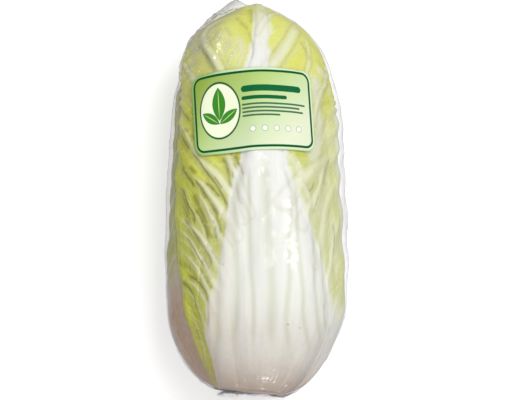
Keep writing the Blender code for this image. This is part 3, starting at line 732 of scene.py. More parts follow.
class Looks:
    """What a leaf's fine grid shows: its relief, its veins, creases and grooves, and washes of colour."""

    def __init__(self, skin):
        self.skin = skin
        for kind in ("rise", *DRAWN):
            setattr(self, kind, np.zeros(skin.angle.shape))

    def raise_to(self, kind, near, values):
        """Raises one kind of value to `values` where it is lower."""
        field = getattr(self, kind).ravel()
        field[near] = np.maximum(field[near], values)

    def add_wash(self, path, width, amount, kind):
        """A soft wash of colour of the given `kind`: an olive one, which is partly painted shade, a bright
        one or a pale one.
        """
        near, off, _ = near_path(self.skin.places, path, 2.5 * width)
        self.raise_to(kind, near, amount * fall(off, width))

    def add_vein(self, path, width, height):
        """A rounded vein on a broader swell, with a darker olive line of painted shade beside each edge.
        `width` is at its start and end.
        """
        near, off, share = near_path(self.skin.places, path, VEIN_REACH)
        half = (width[0] + (width[1] - width[0]) * share) / 2 * (1 - 0.75 * smoothstep(0.80, 1.0, share))
        body = np.clip(1 - (off / half) ** 2, 0, None) ** 1.5
        fade = smoothstep(0, 0.30, 1 - share)
        rise = height * (0.65 * body + 0.35 * fall(off, half + 0.002)) * (0.3 + 0.7 * fade)
        strength = smoothstep(0.0002, 0.0009, height)
        pale = fall(off, half, 3) * (0.35 + 0.65 * strength)
        halo = 0.5 * strength * fall(off, 1.9 * half + 0.0008)
        # Painted shade: a darker olive line just beyond both edges of the vein
        edge = fall(off - 1.35 * half - 0.0004, 0.0005 + 0.25 * half) * strength * fade
        self.raise_to("rise", near, rise)
        self.raise_to("vein", near, np.maximum(pale, halo) * (0.15 + 0.85 * fade))
        self.raise_to("olive", near, 0.50 * edge)

    def add_folds(self, path, random):
        """A few short fine creases beside a vein."""
        heading = np.gradient(path, axis=0)
        aside = np.stack([-heading[:, 1], heading[:, 0]], axis=-1)
        aside /= np.linalg.norm(aside, axis=-1, keepdims=True)
        for _ in range(FOLDS_BESIDE):
            begin = int(random.uniform(0, 0.7) * len(path))
            part = slice(begin, begin + random.integers(3, 7))
            off = random.uniform(*FOLD_OFF) * random.choice([-1, 1])
            fold = path[part] + off * aside[part] * np.linspace(1, 0.7, len(path[part]))[:, None]
            if len(fold) > 2:
                self.add_crease(fold, random.uniform(*FOLD_WIDTHS), FOLD_DEPTH)

    def add_crease(self, path, width, depth, kind="crease"):
        """A notch in the relief, with painted shade. A crease gets a dark line in a wider olive valley, both
        painted shade, and a groove only the grey-green painted shade that its mask gives.
        """
        near, off, share = near_path(self.skin.places, path, CREASE_REACH)
        fade = smoothstep(0, 0.15, share) * smoothstep(0, 0.15, 1 - share)
        notch = fall(off, width) * fade
        self.rise.ravel()[near] -= depth * notch
        if kind == "crease":
            in_crown = smoothstep(0.120, 0.160, self.skin.along.ravel()[near])
            self.raise_to("olive", near, (0.75 - 0.50 * in_crown) * fall(off, 2.4 * width + 0.0008) * fade)
            notch = notch * (0.45 + 0.55 * np.sin(9 * share + 1000 * width) ** 2) * (1 - 0.6 * in_crown)
        self.raise_to(kind, near, notch)


def draw_front(looks, outer, outward, random):
    """Lays the strokes that follow the photograph on the front leaf."""
    seen = pixels_of(outer)
    facing = outward @ camera_axes()[2] > 0.12

    def paths(strokes):
        for *sizes, pixels in strokes:
            spots = spots_on(looks.skin, pixels, seen, facing)
            if len(spots) > 1:
                yield path_through(spots, PATH_STEP), pixels[0], *sizes

    for path, (first_x, first_y), widths, height in paths(FRONT_VEINS):
        looks.add_vein(path, np.array(widths) / 1000, height / 1000)
        if widths[0] > FOLDED_WIDTH and first_x < FOLDED_X and first_y > FOLDED_Y:
            looks.add_folds(path, random)
    for kind, strokes in (("crease", FRONT_CREASES), ("groove", FRONT_GROOVES)):
        for path, _, width, depth in paths(strokes):
            looks.add_crease(path, width / 1000, depth / 1000, kind)
    for kind, strokes in FRONT_WASHES.items():
        for path, _, width, amount in paths(strokes):
            looks.add_wash(path, width / 1000, amount, kind)


def vein_path(leaf, side, out, row):
    """Places on a leaf from shares out of the midrib and rows along it."""
    angle, along, _ = leaf_grid(leaf, side * (RIB_EDGE + (1 - RIB_EDGE) * out), np.clip(row, 0, 1))
    return np.stack([angle * SKIN_RADIUS, along], axis=-1)


def draw_veins(looks, random):
    """Side veins by rule, leaving the midrib at even steps, with branches."""
    leaf = looks.skin.leaf
    for side in (-1, 1):
        row = random.uniform(0.10, 0.14)
        while row < 0.93:
            out = np.linspace(0, random.uniform(0.9, 1.0), 12)
            sway = random.uniform(-0.02, 0.02) * out**2
            widths = VEIN_WIDTH * (1 - 0.55 * row), VEIN_END
            looks.add_vein(vein_path(leaf, side, out, row + sway), widths, VEIN_HEIGHT * (1 - 0.4 * row))
            for _ in range(3):
                begin = random.uniform(0.25, 0.75)
                reach = np.linspace(begin, min(begin + BRANCH_REACH, 1), 6)
                lean = random.choice([-1, 1]) * 0.055 * (reach - begin) / BRANCH_REACH
                branch = vein_path(leaf, side, reach, row + sway[0] + lean)
                looks.add_vein(branch, (BRANCH_WIDTH, BRANCH_END), BRANCH_HEIGHT)
            row += random.uniform(0.055, 0.085)


def draw_grooves(looks, random):
    """Grooves along a midrib by rule."""
    along = np.linspace(-0.045, 0.150, 24)
    centre, width = rib_at(looks.skin.leaf, along)
    for across in np.linspace(-0.8, 0.8, 7) + random.uniform(-0.06, 0.06, 7):
        path = np.stack([(centre + across * width) * SKIN_RADIUS, along], axis=-1)
        looks.add_crease(path, random.uniform(*GROOVE_WIDTHS), random.uniform(*GROOVE_DEPTHS), "groove")


# Meshes

def grid_faces(rows, columns, first=0, wrapped=False):
    """Faces of a grid of points numbered row by row from `first`, as an array."""
    row, column = np.indices((rows - 1, columns if wrapped else columns - 1))
    corner = first + row * columns + column
    beside = first + row * columns + (column + 1) % columns
    return np.stack([corner, beside, beside + columns, corner + columns], axis=-1).reshape(-1, 4)


def tube_faces(rows, columns, first, tip):
    """Faces of a tube of points that closes in a tip, seen from inside."""
    last = first + (rows - 1) * columns
    fan = [[last + column, last + (column + 1) % columns, tip] for column in range(columns)]
    return grid_faces(rows, columns, first, wrapped=True).tolist() + fan


def keep_above(points, level):
    points[..., 2] = np.maximum(points[..., 2], level)


def turned_out(faces):
    return [face[::-1] for face in faces]


def loop_of(number):
    """The numbers round a grid's edge, in order."""
    return np.concatenate([number[0], number[1:, -1], number[-1, -2::-1], number[-2:0:-1, 0]]).tolist()


def add_to_scene(name, data):
    made = bpy.data.objects.new(name, data)
    bpy.context.scene.collection.objects.link(made)
    return made


def make_object(name, points, faces, material, fields):
    """A smooth-shaded object whose faces point out, with named values at its points."""
    mesh = bpy.data.meshes.new(name)
    mesh.from_pydata(points.tolist(), [], faces)
    mesh.update()
    for field, values in fields.items():
        kind, part = ("FLOAT", "value") if values.ndim == 1 else ("FLOAT_VECTOR", "vector")
        values = values.astype(np.float32).ravel()
        mesh.attributes.new(field, kind, "POINT").data.foreach_set(part, values)
    mesh.shade_smooth()
    mesh.materials.append(material)
    return add_to_scene(name, mesh)


def dress(piece, node):
    """Makes a piece stand for a node of the source, at rest on the one body."""
    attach(piece, "root")
    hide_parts(node)
    return piece


def make_sheet(name, inner, outer, material, fields):
    """A closed sheet with a fine outer face, a coarser inner face, and a rim between them."""
    rows, columns = outer.shape[:2]
    number = np.arange(rows * columns).reshape(rows, columns)
    small = inner[::COARSE, ::COARSE]
    inner_number = np.arange(small.shape[0] * small.shape[1]).reshape(small.shape[:2]) + rows * columns
    faces = grid_faces(rows, columns).tolist()
    faces += turned_out(grid_faces(*small.shape[:2], first=rows * columns).tolist())
    rim = loop_of(number)
    inner_rim = loop_of(inner_number)
    for place, (near, far) in enumerate(zip(inner_rim, inner_rim[1:] + inner_rim[:1])):
        fine = [rim[(place * COARSE + step) % len(rim)] for step in range(COARSE + 1)]
        faces.append([near, far] + fine[::-1])
    points = np.concatenate([outer.reshape(-1, 3), small.reshape(-1, 3)])
    spread = {field: np.concatenate([values.reshape(rows * columns, *values.shape[2:]),
                                     values[::COARSE, ::COARSE].reshape(-1, *values.shape[2:])])
              for field, values in fields.items()}
    return make_object(name, points, faces, material, spread)


# Materials

def operator(operation, reflected=False):
    """A sum on sockets, as a method that adds a Math node."""
    def work(socket, other=0.0):
        first, second = (other, socket) if reflected else (socket, other)
        return socket.paint.math(operation, first, second)
    return work


class Socket:
    """A value in a material. Sums on it add Math nodes."""

    def __init__(self, paint, link):
        self.paint = paint
        self.link = link

    __add__ = __radd__ = operator("ADD")
    __sub__ = operator("SUBTRACT")
    __rsub__ = operator("SUBTRACT", reflected=True)
    __mul__ = __rmul__ = operator("MULTIPLY")
    __truediv__ = operator("DIVIDE")
    __pow__ = operator("POWER")
    __abs__ = operator("ABSOLUTE")


class Paint:
    """A material and its nodes."""

    def __init__(self, name):
        self.material = bpy.data.materials.new(name)
        self.material.use_nodes = True
        self.nodes = self.material.node_tree.nodes
        self.nodes.clear()

    def node(self, kind, settings=None, output=0, **values):
        """Adds a node. Its settings come first, then the values or links of its sockets."""
        made = self.nodes.new("ShaderNode" + kind)
        for name, value in (settings or {}).items():
            if name == "stops":
                self.set_stops(made.color_ramp, value)
            else:
                setattr(made, name, value)
        for name, value in values.items():
            self.feed(made.inputs[int(name[1:]) if name[1:].isdigit() else name.replace("_", " ")], value)
        return Socket(self, made.outputs[output])

    def feed(self, socket, value):
        if isinstance(value, Socket):
            self.material.node_tree.links.new(value.link, socket)
        elif isinstance(value, tuple) and len(value) == 3 and len(socket.default_value) == 4:
            socket.default_value = (*value, 1)
        else:
            socket.default_value = value

    def set_stops(self, ramp, stops):
        while len(ramp.elements) < len(stops):
            ramp.elements.new(1)
        for element, (position, colour) in zip(ramp.elements, stops):
            element.position = position
            element.color = (*colour, 1)

    def math(self, operation, first, second=0.0):
        return self.node("Math", {"operation": operation}, _0=first, _1=second)

    def mix(self, share, first, second):
        """A colour that goes from `first` to `second`."""
        return self.node("Mix", {"data_type": "RGBA"}, output=2, _0=share, _6=first, _7=second)

    def coats(self, colour, *coats):
        """A colour under coats of others, each with the share of it that shows."""
        for share, shade in coats:
            colour = self.mix(share, colour, tint(*shade))
        return colour

    def place(self):
        return self.node("TexCoord", output="Object")

    def field(self, name, output="Fac"):
        return self.node("Attribute", {"attribute_name": name}, output=output)

    def rounded_box(self, across, up, half_width, half_height, corner):
        """Distance out from the edge of a box with round corners."""
        side = self.math("MAXIMUM", abs(across) - (half_width - corner))
        rise = self.math("MAXIMUM", abs(up) - (half_height - corner))
        return (side * side + rise * rise) ** 0.5 - corner

    def below(self, value, edge, soft):
        """1 where a value is below an edge, 0 above it."""
        return self.node("MapRange", {"interpolation_type": "SMOOTHSTEP"}, output="Result", Value=value,
                         From_Min=edge - soft, From_Max=edge + soft, To_Min=1.0, To_Max=0.0)

    def ramp(self, value, low, high, top=1.0):
        """0 at `low`, rising evenly to `top` at `high`."""
        return self.node("MapRange", output="Result", Value=value, From_Min=low, From_Max=high,
                         To_Min=0.0, To_Max=top)

    def noise(self, place, scale, detail=2.0):
        return self.node("TexNoise", output="Fac", Vector=place, Scale=scale, Detail=detail)

    def cells(self, place, scale, feature="F1", dimensions="3D"):
        """Distance from the middle of a cell, or from its edge."""
        return self.node("TexVoronoi", {"voronoi_dimensions": dimensions, "feature": feature},
                         output="Distance", Vector=place, Scale=scale)

    def stretched(self, place, stretch):
        return self.node("VectorMath", {"operation": "MULTIPLY"}, output="Vector", _0=place, _1=stretch)

    def bump(self, height, strength=0.8):
        return self.node("Bump", output="Normal", Strength=strength, Distance=1.0, Height=height)

    def finish(self, surface):
        end = self.nodes.new("ShaderNodeOutputMaterial")
        self.feed(end.inputs["Surface"], surface)
        return self.material

    def solid(self, colour, roughness, **values):
        """Ends the material with an opaque surface."""
        return self.finish(self.node("BsdfPrincipled", output="BSDF", Base_Color=colour, Roughness=roughness,
                                     **values))


def tint(red, green, blue):
    """A colour as a screen shows it, from 0 to 255, in the light's own scale."""
    values = np.array([red, green, blue]) / 255
    return tuple(np.where(values <= 0.04045, values / 12.92, ((values + 0.055) / 1.055) ** 2.4).tolist())


def leaf_material():
    """Pale green blade with a net of veinlets, white veins, and a white midrib with soft grooves; creases,
    grooves, vein edges, the shaded left and the cut end carry painted shade.
    """
    paint = Paint("leaf")
    place = paint.place()
    flow = paint.field("flow", "Vector")
    vein, crease, groove, olive, bright, pale = map(paint.field, DRAWN)
    rib, butt, crown = map(paint.field, ("rib", "butt", "crown"))

    even = paint.stretched(flow, (1.0, 0.62, 0.0))
    wobble = paint.node("TexNoise", {"noise_dimensions": "2D"}, output="Color", Vector=even, Scale=180.0)
    bent = paint.node("VectorMath", {"operation": "MULTIPLY_ADD"}, output="Vector",
                      _0=wobble, _1=(0.0022, 0.0022, 0.0), _2=even)
    coarse, fine = (paint.cells(bent, scale, "DISTANCE_TO_EDGE", "2D") for scale in (210.0, 620.0))
    net = paint.below(coarse, 0.055, 0.055) * 0.75 + paint.below(fine, 0.05, 0.06) * 0.25
    mottle = paint.noise(place, 230.0)
    feathers = paint.noise(paint.stretched(flow, (520.0, 60.0, 0.0)), 1.0, 3.0)
    feathered = paint.ramp(feathers, 0.42, 0.68, 0.50)
    streaks = paint.noise(paint.stretched(flow, (420.0, 26.0, 0.0)), 1.0)

    blade = paint.coats(
        tint(186, 194, 4),
        (paint.noise(place, 34.0, 3.0), (218, 222, 40)),
        (bright * 0.75, (228, 232, 40)),
        (crown * 0.75, (241, 241, 118)),
        # Olive: partly the leaves' own tone, partly painted shade beside veins, in folds and on the head's
        # shaded left
        (olive * 0.9, (126, 120, 2)),
        (feathered * (1 - olive * 0.75), (230, 230, 112)),
        (mottle * (0.35 - crown * 0.22), (156, 162, 12)),
        (net * (0.55 - olive * 0.3), (236, 237, 144)),
        (pale * (0.55 + feathers * 0.6), (236, 238, 218)),
        (vein * (0.92 - olive * 0.25), (228, 230, 184)),
        # Painted shade: dark lines in the creases
        (crease * (0.70 - pale * 0.35), (112, 118, 16)))
    white = paint.coats(
        tint(246, 246, 240),
        (streaks, (232, 234, 222)),
        # Painted shade on the midrib: grey-green in its grooves, darker in its creases, and browner where the
        # olive painted shade lies
        (groove * 0.8, (218, 221, 200)),
        (crease * 0.6, (196, 198, 150)),
        (olive * (0.10 + streaks * 0.5), (196, 176, 140)))
    colour = paint.coats(
        paint.mix(rib, blade, white),
        (paint.below(paint.cells(place, 34.0), 0.020, 0.008) * 0.7, (126, 96, 58)),
        # Browner towards the cut: partly browning, partly painted shade of the head's lower end and shaded
        # left
        (butt * (0.75 + mottle * 0.4), (180, 134, 89)))
    height = (net * 0.00025 + feathers * 0.0003) * (1 - rib) + mottle * 0.00012 + streaks * rib * 0.0001
    return paint.solid(colour, 0.36 + mottle * 0.16, Normal=paint.bump(height), Subsurface_Weight=0.12,
                       Subsurface_Radius=(0.6, 0.5, 0.2), Subsurface_Scale=0.006, IOR=1.33)


def heart_material():
    """Cut stem: a pale pith with rings and dots of strands, browned where it was cut and at its rim."""
    paint = Paint("heart")
    place = paint.place()
    ring, arc = paint.field("ring"), paint.field("arc")
    mottle = paint.noise(place, 300.0, 3.0)
    patches = paint.noise(place, 60.0)
    dots = paint.below(paint.cells(place, 420.0), 0.22, 0.08)
    colour = paint.coats(
        tint(236, 232, 212),
        (patches, (224, 216, 188)),
        (dots * ring * 0.6, (176, 164, 112)),
        (mottle * 0.3, (200, 190, 150)),
        (arc * (0.3 + patches * 0.7), (158, 134, 92)),
        (paint.field("browned") * (0.5 + patches * 0.8), (164, 134, 96)))
    height = mottle * 0.0003 + dots * ring * 0.0002 - arc * 0.0004
    return paint.solid(colour, 0.5 + mottle * 0.2, Normal=paint.bump(height))


def film_material():
    """Clear film: glossy where it is seen edge-on or crumpled, and see-through elsewhere."""
    paint = Paint("film")
    place = paint.place()
    edge_on = paint.node("LayerWeight", output="Facing", Blend=0.5)
    crumple = paint.noise(place, 120.0, 3.0)
    fine = paint.noise(place, 700.0, 1.0)
    wrinkle = paint.below(abs(paint.noise(place, 170.0) - 0.5), 0.022, 0.022) * paint.field("wrinkled")
    gloss = (0.018 + (edge_on ** 6) * 0.42 + paint.field("haze") * (0.3 + crumple * 1.4)
             + wrinkle * (0.05 + crumple * 0.5))
    normal = paint.bump(crumple * 0.0011 + fine * 0.00005 + wrinkle * 0.0003, 0.55)
    clear = paint.node("BsdfTransparent", output="BSDF", Color=(0.985, 0.985, 0.99))
    shine = paint.node("BsdfGlossy", output="BSDF", Color=(0.84, 0.82, 0.88), Roughness=0.12, Normal=normal)
    return paint.finish(paint.node("MixShader", output="Shader", _0=paint.math("MINIMUM", gloss, 0.8),
                                   _1=clear, _2=shine))


def print_badge(paint, colour, across, up):
    """An oval badge with a sprig of three leaves."""
    badge = (((across - BADGE_X) / BADGE_WIDTH) ** 2.0 + ((up - BADGE_Y) / BADGE_HEIGHT) ** 2.0) ** 0.5
    colour = paint.coats(
        colour,
        (paint.below(badge, 1.0, 0.02), DARK_GREEN),
        (paint.below(badge, 0.93, 0.02), (238, 244, 214)))
    for turn, length, width, leaf_x, leaf_y in SPRIG:
        turned_x = (across - leaf_x) * math.cos(turn) + (up - leaf_y) * math.sin(turn)
        turned_y = abs((up - leaf_y) * math.cos(turn) - (across - leaf_x) * math.sin(turn))
        share = (turned_x / length) ** 2.0
        colour = paint.coats(
            colour,
            (paint.below(turned_y - (1 - share) * width, 0.0, 0.00015), LEAF_GREEN),
            (paint.below(turned_y + share * 0.0004, 0.0003, 0.0001), (206, 226, 160)))
    return colour


def print_bars(paint, colour, across, up):
    """Plain rounded bars and a row of rings."""
    for bar_x, bar_y, half_length, half_height, shade in LABEL_BARS:
        edge = paint.rounded_box(across - bar_x, up - bar_y, half_length, half_height, half_height)
        colour = paint.mix(paint.below(edge, 0.0, 0.0001), colour, shade)
    for number in range(LABEL_RINGS):
        off_x = across - (RINGS_X + number * RINGS_STEP)
        off_y = up - RINGS_Y
        off = (off_x * off_x + off_y * off_y) ** 0.5
        colour = paint.coats(
            colour,
            (paint.below(off, RING_RADIUS, 0.0001), (238, 242, 230)),
            (paint.below(abs(off - RING_RADIUS), 0.0002, 0.0001), (140, 160, 130)))
    return colour


def label_material():
    """Printed paper: a dark frame in a pale rim, a badge with a sprig, and plain bars and rings."""
    paint = Paint("label")
    place = paint.field("print", "Vector")
    across, up = (paint.node("SeparateXYZ", output=axis, Vector=place) for axis in "XY")
    stops = [(0.0, tint(138, 166, 50)), (0.4, tint(172, 200, 112)), (0.72, tint(198, 216, 168)),
             (1.0, tint(220, 226, 197))]
    to_lower_right = paint.ramp(across * 0.9 - up * 1.2, -0.066, 0.050)
    fibres = paint.noise(place, 900.0)
    paper = paint.node("ValToRGB", {"stops": stops}, output="Color", Fac=to_lower_right)
    colour = paint.coats(paper, (fibres * 0.08, (250, 250, 245)))
    colour = print_badge(paint, colour, across, up)
    colour = print_bars(paint, colour, across, up)

    edge = paint.rounded_box(across, up, LABEL_WIDTH / 2, LABEL_HEIGHT / 2, LABEL_CORNER)
    rim = paint.mix(paint.ramp(across, -0.045, -0.005), tint(150, 186, 110), tint(208, 226, 186))
    colour = paint.mix(paint.below(edge, -RIM_WIDTH, 0.0001), rim, colour)
    line = paint.below(edge, -RIM_WIDTH, 0.00015) * (1 - paint.below(edge, -RIM_WIDTH - LINE_WIDTH, 0.00015))
    return paint.solid(paint.coats(colour, (line, DARK_GREEN)), 0.34 + fibres * 0.12,
                       Normal=paint.bump(fibres * 0.00006, 0.5), IOR=1.3, Specular_IOR_Level=0.15)


def floor_material():
    """Pale studio paper that glows a little, so that it stays near white."""
    paint = Paint("floor")
    colour = paint.mix(paint.noise(paint.place(), 40.0), (0.93, 0.93, 0.93), (0.95, 0.95, 0.95))
    return paint.solid(colour, 0.9, Emission_Color=(1.0, 1.0, 1.0), Emission_Strength=FLOOR_GLOW)


# Pieces

def leaf_fields(looks):
    """What the leaf's material reads: its drawing, and how white a point is, how brown, which is partly
    browning and partly painted shade, and how near the crown.
    """
    skin = looks.skin
    leaf, along, out = skin.leaf, skin.along, skin.out_of_rib
    frayed = 0.05 * noise_at(skin.flow, 0.009, 7) + 0.03 * noise_at(skin.flow, 0.004, 8)
    fade = RIB_FADE * (1 - 0.50 * smoothstep(0.30, 0.60, skin.rise_row))
    rib = 1 - smoothstep(0.0, 1.0, (out + frayed * smoothstep(0, 0.02, out)) / fade)
    front = leaf.name == "front_leaf"
    if front:
        centre, width = rib_at(leaf, along)
        to_left = (centre - skin.angle) / width
        rib = rib * (1 - smoothstep(-0.03, 0.06, to_left + frayed - curve_through(WHITE_LEFT, along)))
    rib = np.maximum(rib, 0.40 * looks.vein * fall(out, 0.30))
    rib = rib * (1 - smoothstep(0.75, 0.95, skin.rise_row))
    from_cut = along + CUT_ANGLE * CORE_RADIUS
    # Browner towards the cut, partly browning and partly painted shade of the head's lower end
    butt = 0.22 * (1 - smoothstep(0.008, 0.050, from_cut)) + 0.38 * (1 - smoothstep(0.0, 0.016, from_cut))
    pale = looks.pale
    if front:
        # Painted shade with some browning on the left side of the front midrib's base, where it curves down
        tan_and_shade = smoothstep(0.55, 1.0, to_left) * smoothstep(-0.012, 0.018, -along) * rib
        butt = np.maximum(butt, 0.42 * tan_and_shade)
        lower_right = smoothstep(0.35, 0.80, skin.angle) * (1 - smoothstep(0.125, 0.165, along))
        pale = np.maximum(pale, lower_right * (0.55 + 0.35 * noise_at(skin.flow * [1.0, 3.0], 0.012, 9)))
        fleshy = (1 - smoothstep(0.030, 0.052, from_cut + frayed * 0.1)) * smoothstep(0.0, 0.2, skin.angle)
    elif leaf.name == "leaf_5":
        # leaf_5's midrib base lies on the head's shaded lower left: white flesh, browned there with painted
        # shade
        fleshy = 1 - smoothstep(0.036, 0.085, from_cut)
        butt = np.maximum(butt, 0.84 * fleshy * (0.30 + 0.70 * smoothstep(0.0, 0.9, skin.angle)))
    else:
        fleshy = 1 - smoothstep(0.018, 0.045, from_cut + 0.2 * frayed)
    fields = {kind: getattr(looks, kind) for kind in DRAWN}
    fields.update(pale=pale, rib=np.maximum(rib, fleshy), butt=butt, crown=smoothstep(0.135, 0.175, along),
                  flow=np.concatenate([skin.flow, np.zeros((*along.shape, 1))], axis=-1))
    return fields


def leaf_relief(looks, seed):
    """Veins, creases and grooves, with puckers and lumps on the blade and ripples on the midrib."""
    skin = looks.skin
    on_blade = smoothstep(0.0, 0.06, skin.out_of_rib)
    puckers = lumps_at(skin.flow, *PUCKER, seed) + lumps_at(skin.flow, *FINE_PUCKER, seed + 1)
    lumps = lumps_at(skin.places, *LUMP, seed + 2)
    ripples = lumps_at(skin.places * [1.0, 0.12], *RIPPLE, seed + 3)
    veins = np.clip(looks.rise, 0, None) * (0.25 + 0.75 * on_blade)
    hollows = np.clip(looks.rise, None, 0)
    relief = veins + hollows + (puckers + lumps) * on_blade + ripples * (1 - on_blade)
    relief = np.clip(relief, RELIEF_LOW - 0.55 * skin.rib, RELIEF_HIGH)
    return relief * (0.5 + 0.5 * smoothstep(0, 0.03, skin.rise_row))


def make_leaf(leaf, under, material):
    """One outer leaf. The front one has the strokes of the photograph, the others veins by rule."""
    front = leaf.name == "front_leaf"
    random = np.random.default_rng(sum(leaf.name.encode()))
    skin = make_skin(leaf, under, FRONT_DETAIL if front else OTHER_DETAIL)
    base, outward = outward_of(skin.direction, skin.station)
    looks = Looks(skin)
    core = HEART_CUT + RIM_STEP * 0.6 * len(under) * np.ones(skin.rib.shape[1]) - RIM_SHEET
    rind = HEART_CUT + RIM_STEP * (len(under) + 1) + RIM_RIB * skin.rib[0]
    short = CUT_STEP * len(under)
    inner = run_to_cut(base + skin.inner[..., None] * outward, skin, core, short)
    smooth = run_to_cut(base + (skin.inner + BLADE + skin.rib)[..., None] * outward, skin, rind, short)
    if front:
        draw_front(looks, smooth, outward, random)
    else:
        draw_veins(looks, random)
        draw_grooves(looks, random)
        # The leaves under the front one get their olive tone; on leaf_3 and leaf_5, at the head's shaded
        # left, it is partly painted shade
        to_margin = smoothstep(0.55, 1.0, skin.out_of_rib)
        looks.olive += OLIVE_AND_SHADE_LEAVES.get(leaf.name, OLIVE_OTHERS) * (0.6 + 0.4 * to_margin)
    outer = smooth + leaf_relief(looks, int(random.integers(100)))[..., None] * outward
    keep_above(inner, UNDERSIDE)
    keep_above(outer, UNDERSIDE + 0.5 * BLADE)
    piece = make_sheet(leaf.name + "_dressed", inner, outer, material, leaf_fields(looks))
    return dress(piece, leaf.name)


def make_heart(material):
    """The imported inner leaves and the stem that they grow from, with its cut face."""
    azimuth = np.linspace(0, 2 * math.pi, HEART_COLUMNS, endpoint=False)
    ring = ring_of(azimuth)
    out = np.append(np.linspace(0.04, 0.97, 22), 1.0)
    share = out[:, None]
    dish = PITH_DEPTH * (1 - share**2) + RING_HEIGHT * np.cos(share * 26)
    rough = lumps_at(ring * share[..., None] * STEM_RADIUS, ROUGH_SIZE, ROUGH_HEIGHT, 3)
    reach = CUT_REACH + share * (CUT_SLANT * ring[:, 2] + CUT_LEAN * ring[:, 0]) - dish - rough
    cut = grown(ring * HEART_CUT * share[..., None] - reach[..., None] * AXIS)
    spiral = np.cos(2 * math.pi * (share * 6 + azimuth / math.pi) + np.sin(3 * azimuth))
    arcs = np.clip(spiral, 0, None) ** 6 * smoothstep(0.45, 0.7, share)

    lengths = np.concatenate([np.array([-CUT_ANGLE, *np.linspace(-CUT_ANGLE * 0.95, 0, 5)]) * CORE_RADIUS,
                              np.linspace(0.02, BODY_LENGTH, 6),
                              BODY_LENGTH + np.linspace(0, math.pi / 2, 9)[1:-1] * CORE_RADIUS])
    direction, station = ring_directions(*np.meshgrid(azimuth, lengths))
    skin = head_points(direction, station, np.zeros(station.shape))
    shoulder = [cut[-1] * (1 - near) + skin[0] * near for near in (0.25, 0.5, 0.75)]
    grid = np.concatenate([cut, shoulder, skin])
    inside = len(grid) - len(cut)
    browned = np.concatenate([0.10 + 0.35 * out**6, np.full(4, 0.2), np.full(inside - 4, 0.1)])
    strands = np.concatenate([np.where((out > 0.45) & (out < 0.85), 1.0, 0.15), np.zeros(inside)])
    fields = {"browned": np.append(np.repeat(browned, HEART_COLUMNS), [0.1, 0.25]),
              "ring": np.append(np.repeat(strands, HEART_COLUMNS), [0.0, 0.1]),
              "arc": np.append(arcs, np.zeros(inside * HEART_COLUMNS + 2))}

    ends = grown(np.array([[0.0, BODY_LENGTH + CORE_RADIUS, 0.0], [0.0, PITH_DEPTH - CUT_REACH, 0.0]]))
    points = np.concatenate([grid.reshape(-1, 3), ends])
    faces = turned_out(tube_faces(len(grid), HEART_COLUMNS, 0, len(points) - 2))
    faces += [[column, (column + 1) % HEART_COLUMNS, len(points) - 1] for column in range(HEART_COLUMNS)]
    return dress(make_object("heart_dressed", points, faces, material, fields), "heart")


def surface_of(pieces):
    """The surfaces of some pieces together, to cast rays on."""
    points, faces = [], []
    for piece in pieces:
        first = len(points)
        points += [vertex.co.copy() for vertex in piece.data.vertices]
        faces += [[first + corner for corner in face.vertices] for face in piece.data.polygons]
    return BVHTree.FromPolygons(points, faces)


def heights_over(under, base, outward):
    """How far out the surfaces below are, from each base point along its outward way."""
    heights = np.zeros(base.shape[:-1])
    for spot in np.ndindex(heights.shape):
        start = base[spot] + RAY_REACH * outward[spot]
        hit, _, _, distance = under.ray_cast(start.tolist(), (-outward[spot]).tolist(), 2 * RAY_REACH)
        heights[spot] = RAY_REACH - distance if hit else 0.0
    return heights


def round_about(values):
    """A grid that closes round the head, moved by one column each way."""
    return np.roll(values, 1, axis=1), np.roll(values, -1, axis=1)


def drawn_tight(rest):
    """Heights of a skin pulled smooth over what it rests on, on a grid that closes round the head."""
    height = rest.copy()
    for _ in range(FILM_PASSES):
        lengthways = height.copy()
        lengthways[1:-1] = (height[2:] + height[:-2]) / 2
        height = np.maximum(rest, (sum(round_about(height)) / 2 + lengthways) / 2)
    return height


def normals_of(points, outward):
    """Ways straight out from a grid of points that closes on itself."""
    before, after = round_about(points)
    normal = np.cross(after - before, np.gradient(points, axis=0))
    normal /= np.linalg.norm(normal, axis=-1, keepdims=True) + 1e-12
    middle = len(outward) // 2
    return normal * np.sign(np.sum(normal[middle] * outward[middle]))


def creases_of(places, stretch, size, seed):
    """Thin ridges, 1 along their tops."""
    return np.clip(1 - 4.5 * np.abs(noise_at(places * [1.0, stretch, 1.0], size, seed)), 0, None) ** 2


def make_ear(turn, along):
    """The corner of the bag that stands up at the crown, 1 at its tip."""
    rising = (turn - EAR_START) / (EAR_TIP - EAR_START)
    falling = (EAR_END - turn) / (EAR_END - EAR_TIP)
    line = EAR_STATION - EAR_SLOPE * np.clip(1 - falling, 0, 1)
    return np.clip(np.minimum(rising, falling), 0, None) * fall(along - line, EAR_DEPTH)


def make_mouth(azimuth, body):
    """Rows of points from the gathered mouth of the bag to the first row of its body."""
    centre = grown(MOUTH_SHIFT[None, :])[0]
    folds = 0.20 * np.cos(9 * azimuth) + 0.10 * np.cos(17 * azimuth + 1.0) + 0.05 * np.cos(31 * azimuth)
    pleated = ring_of(azimuth) * (1 + folds)[:, None]
    neck = centre + pleated * NECK_RADIUS - AXIS * NECK_REACH
    tail = centre + pleated * (1 + 0.12 * np.cos(5 * azimuth))[:, None] * TAIL_RADIUS - AXIS * TAIL_REACH
    rows = [tail * (1 - share) + neck * share for share in np.linspace(0, 1, TAIL_ROWS)]
    rows += [neck * (1 - share) + body[0] * share - AXIS * MOUTH_SAG * math.sin(math.pi * share)
             for share in np.linspace(0, 1, MOUTH_ROWS - TAIL_ROWS + 2)[1:-1]]
    return np.stack(rows)


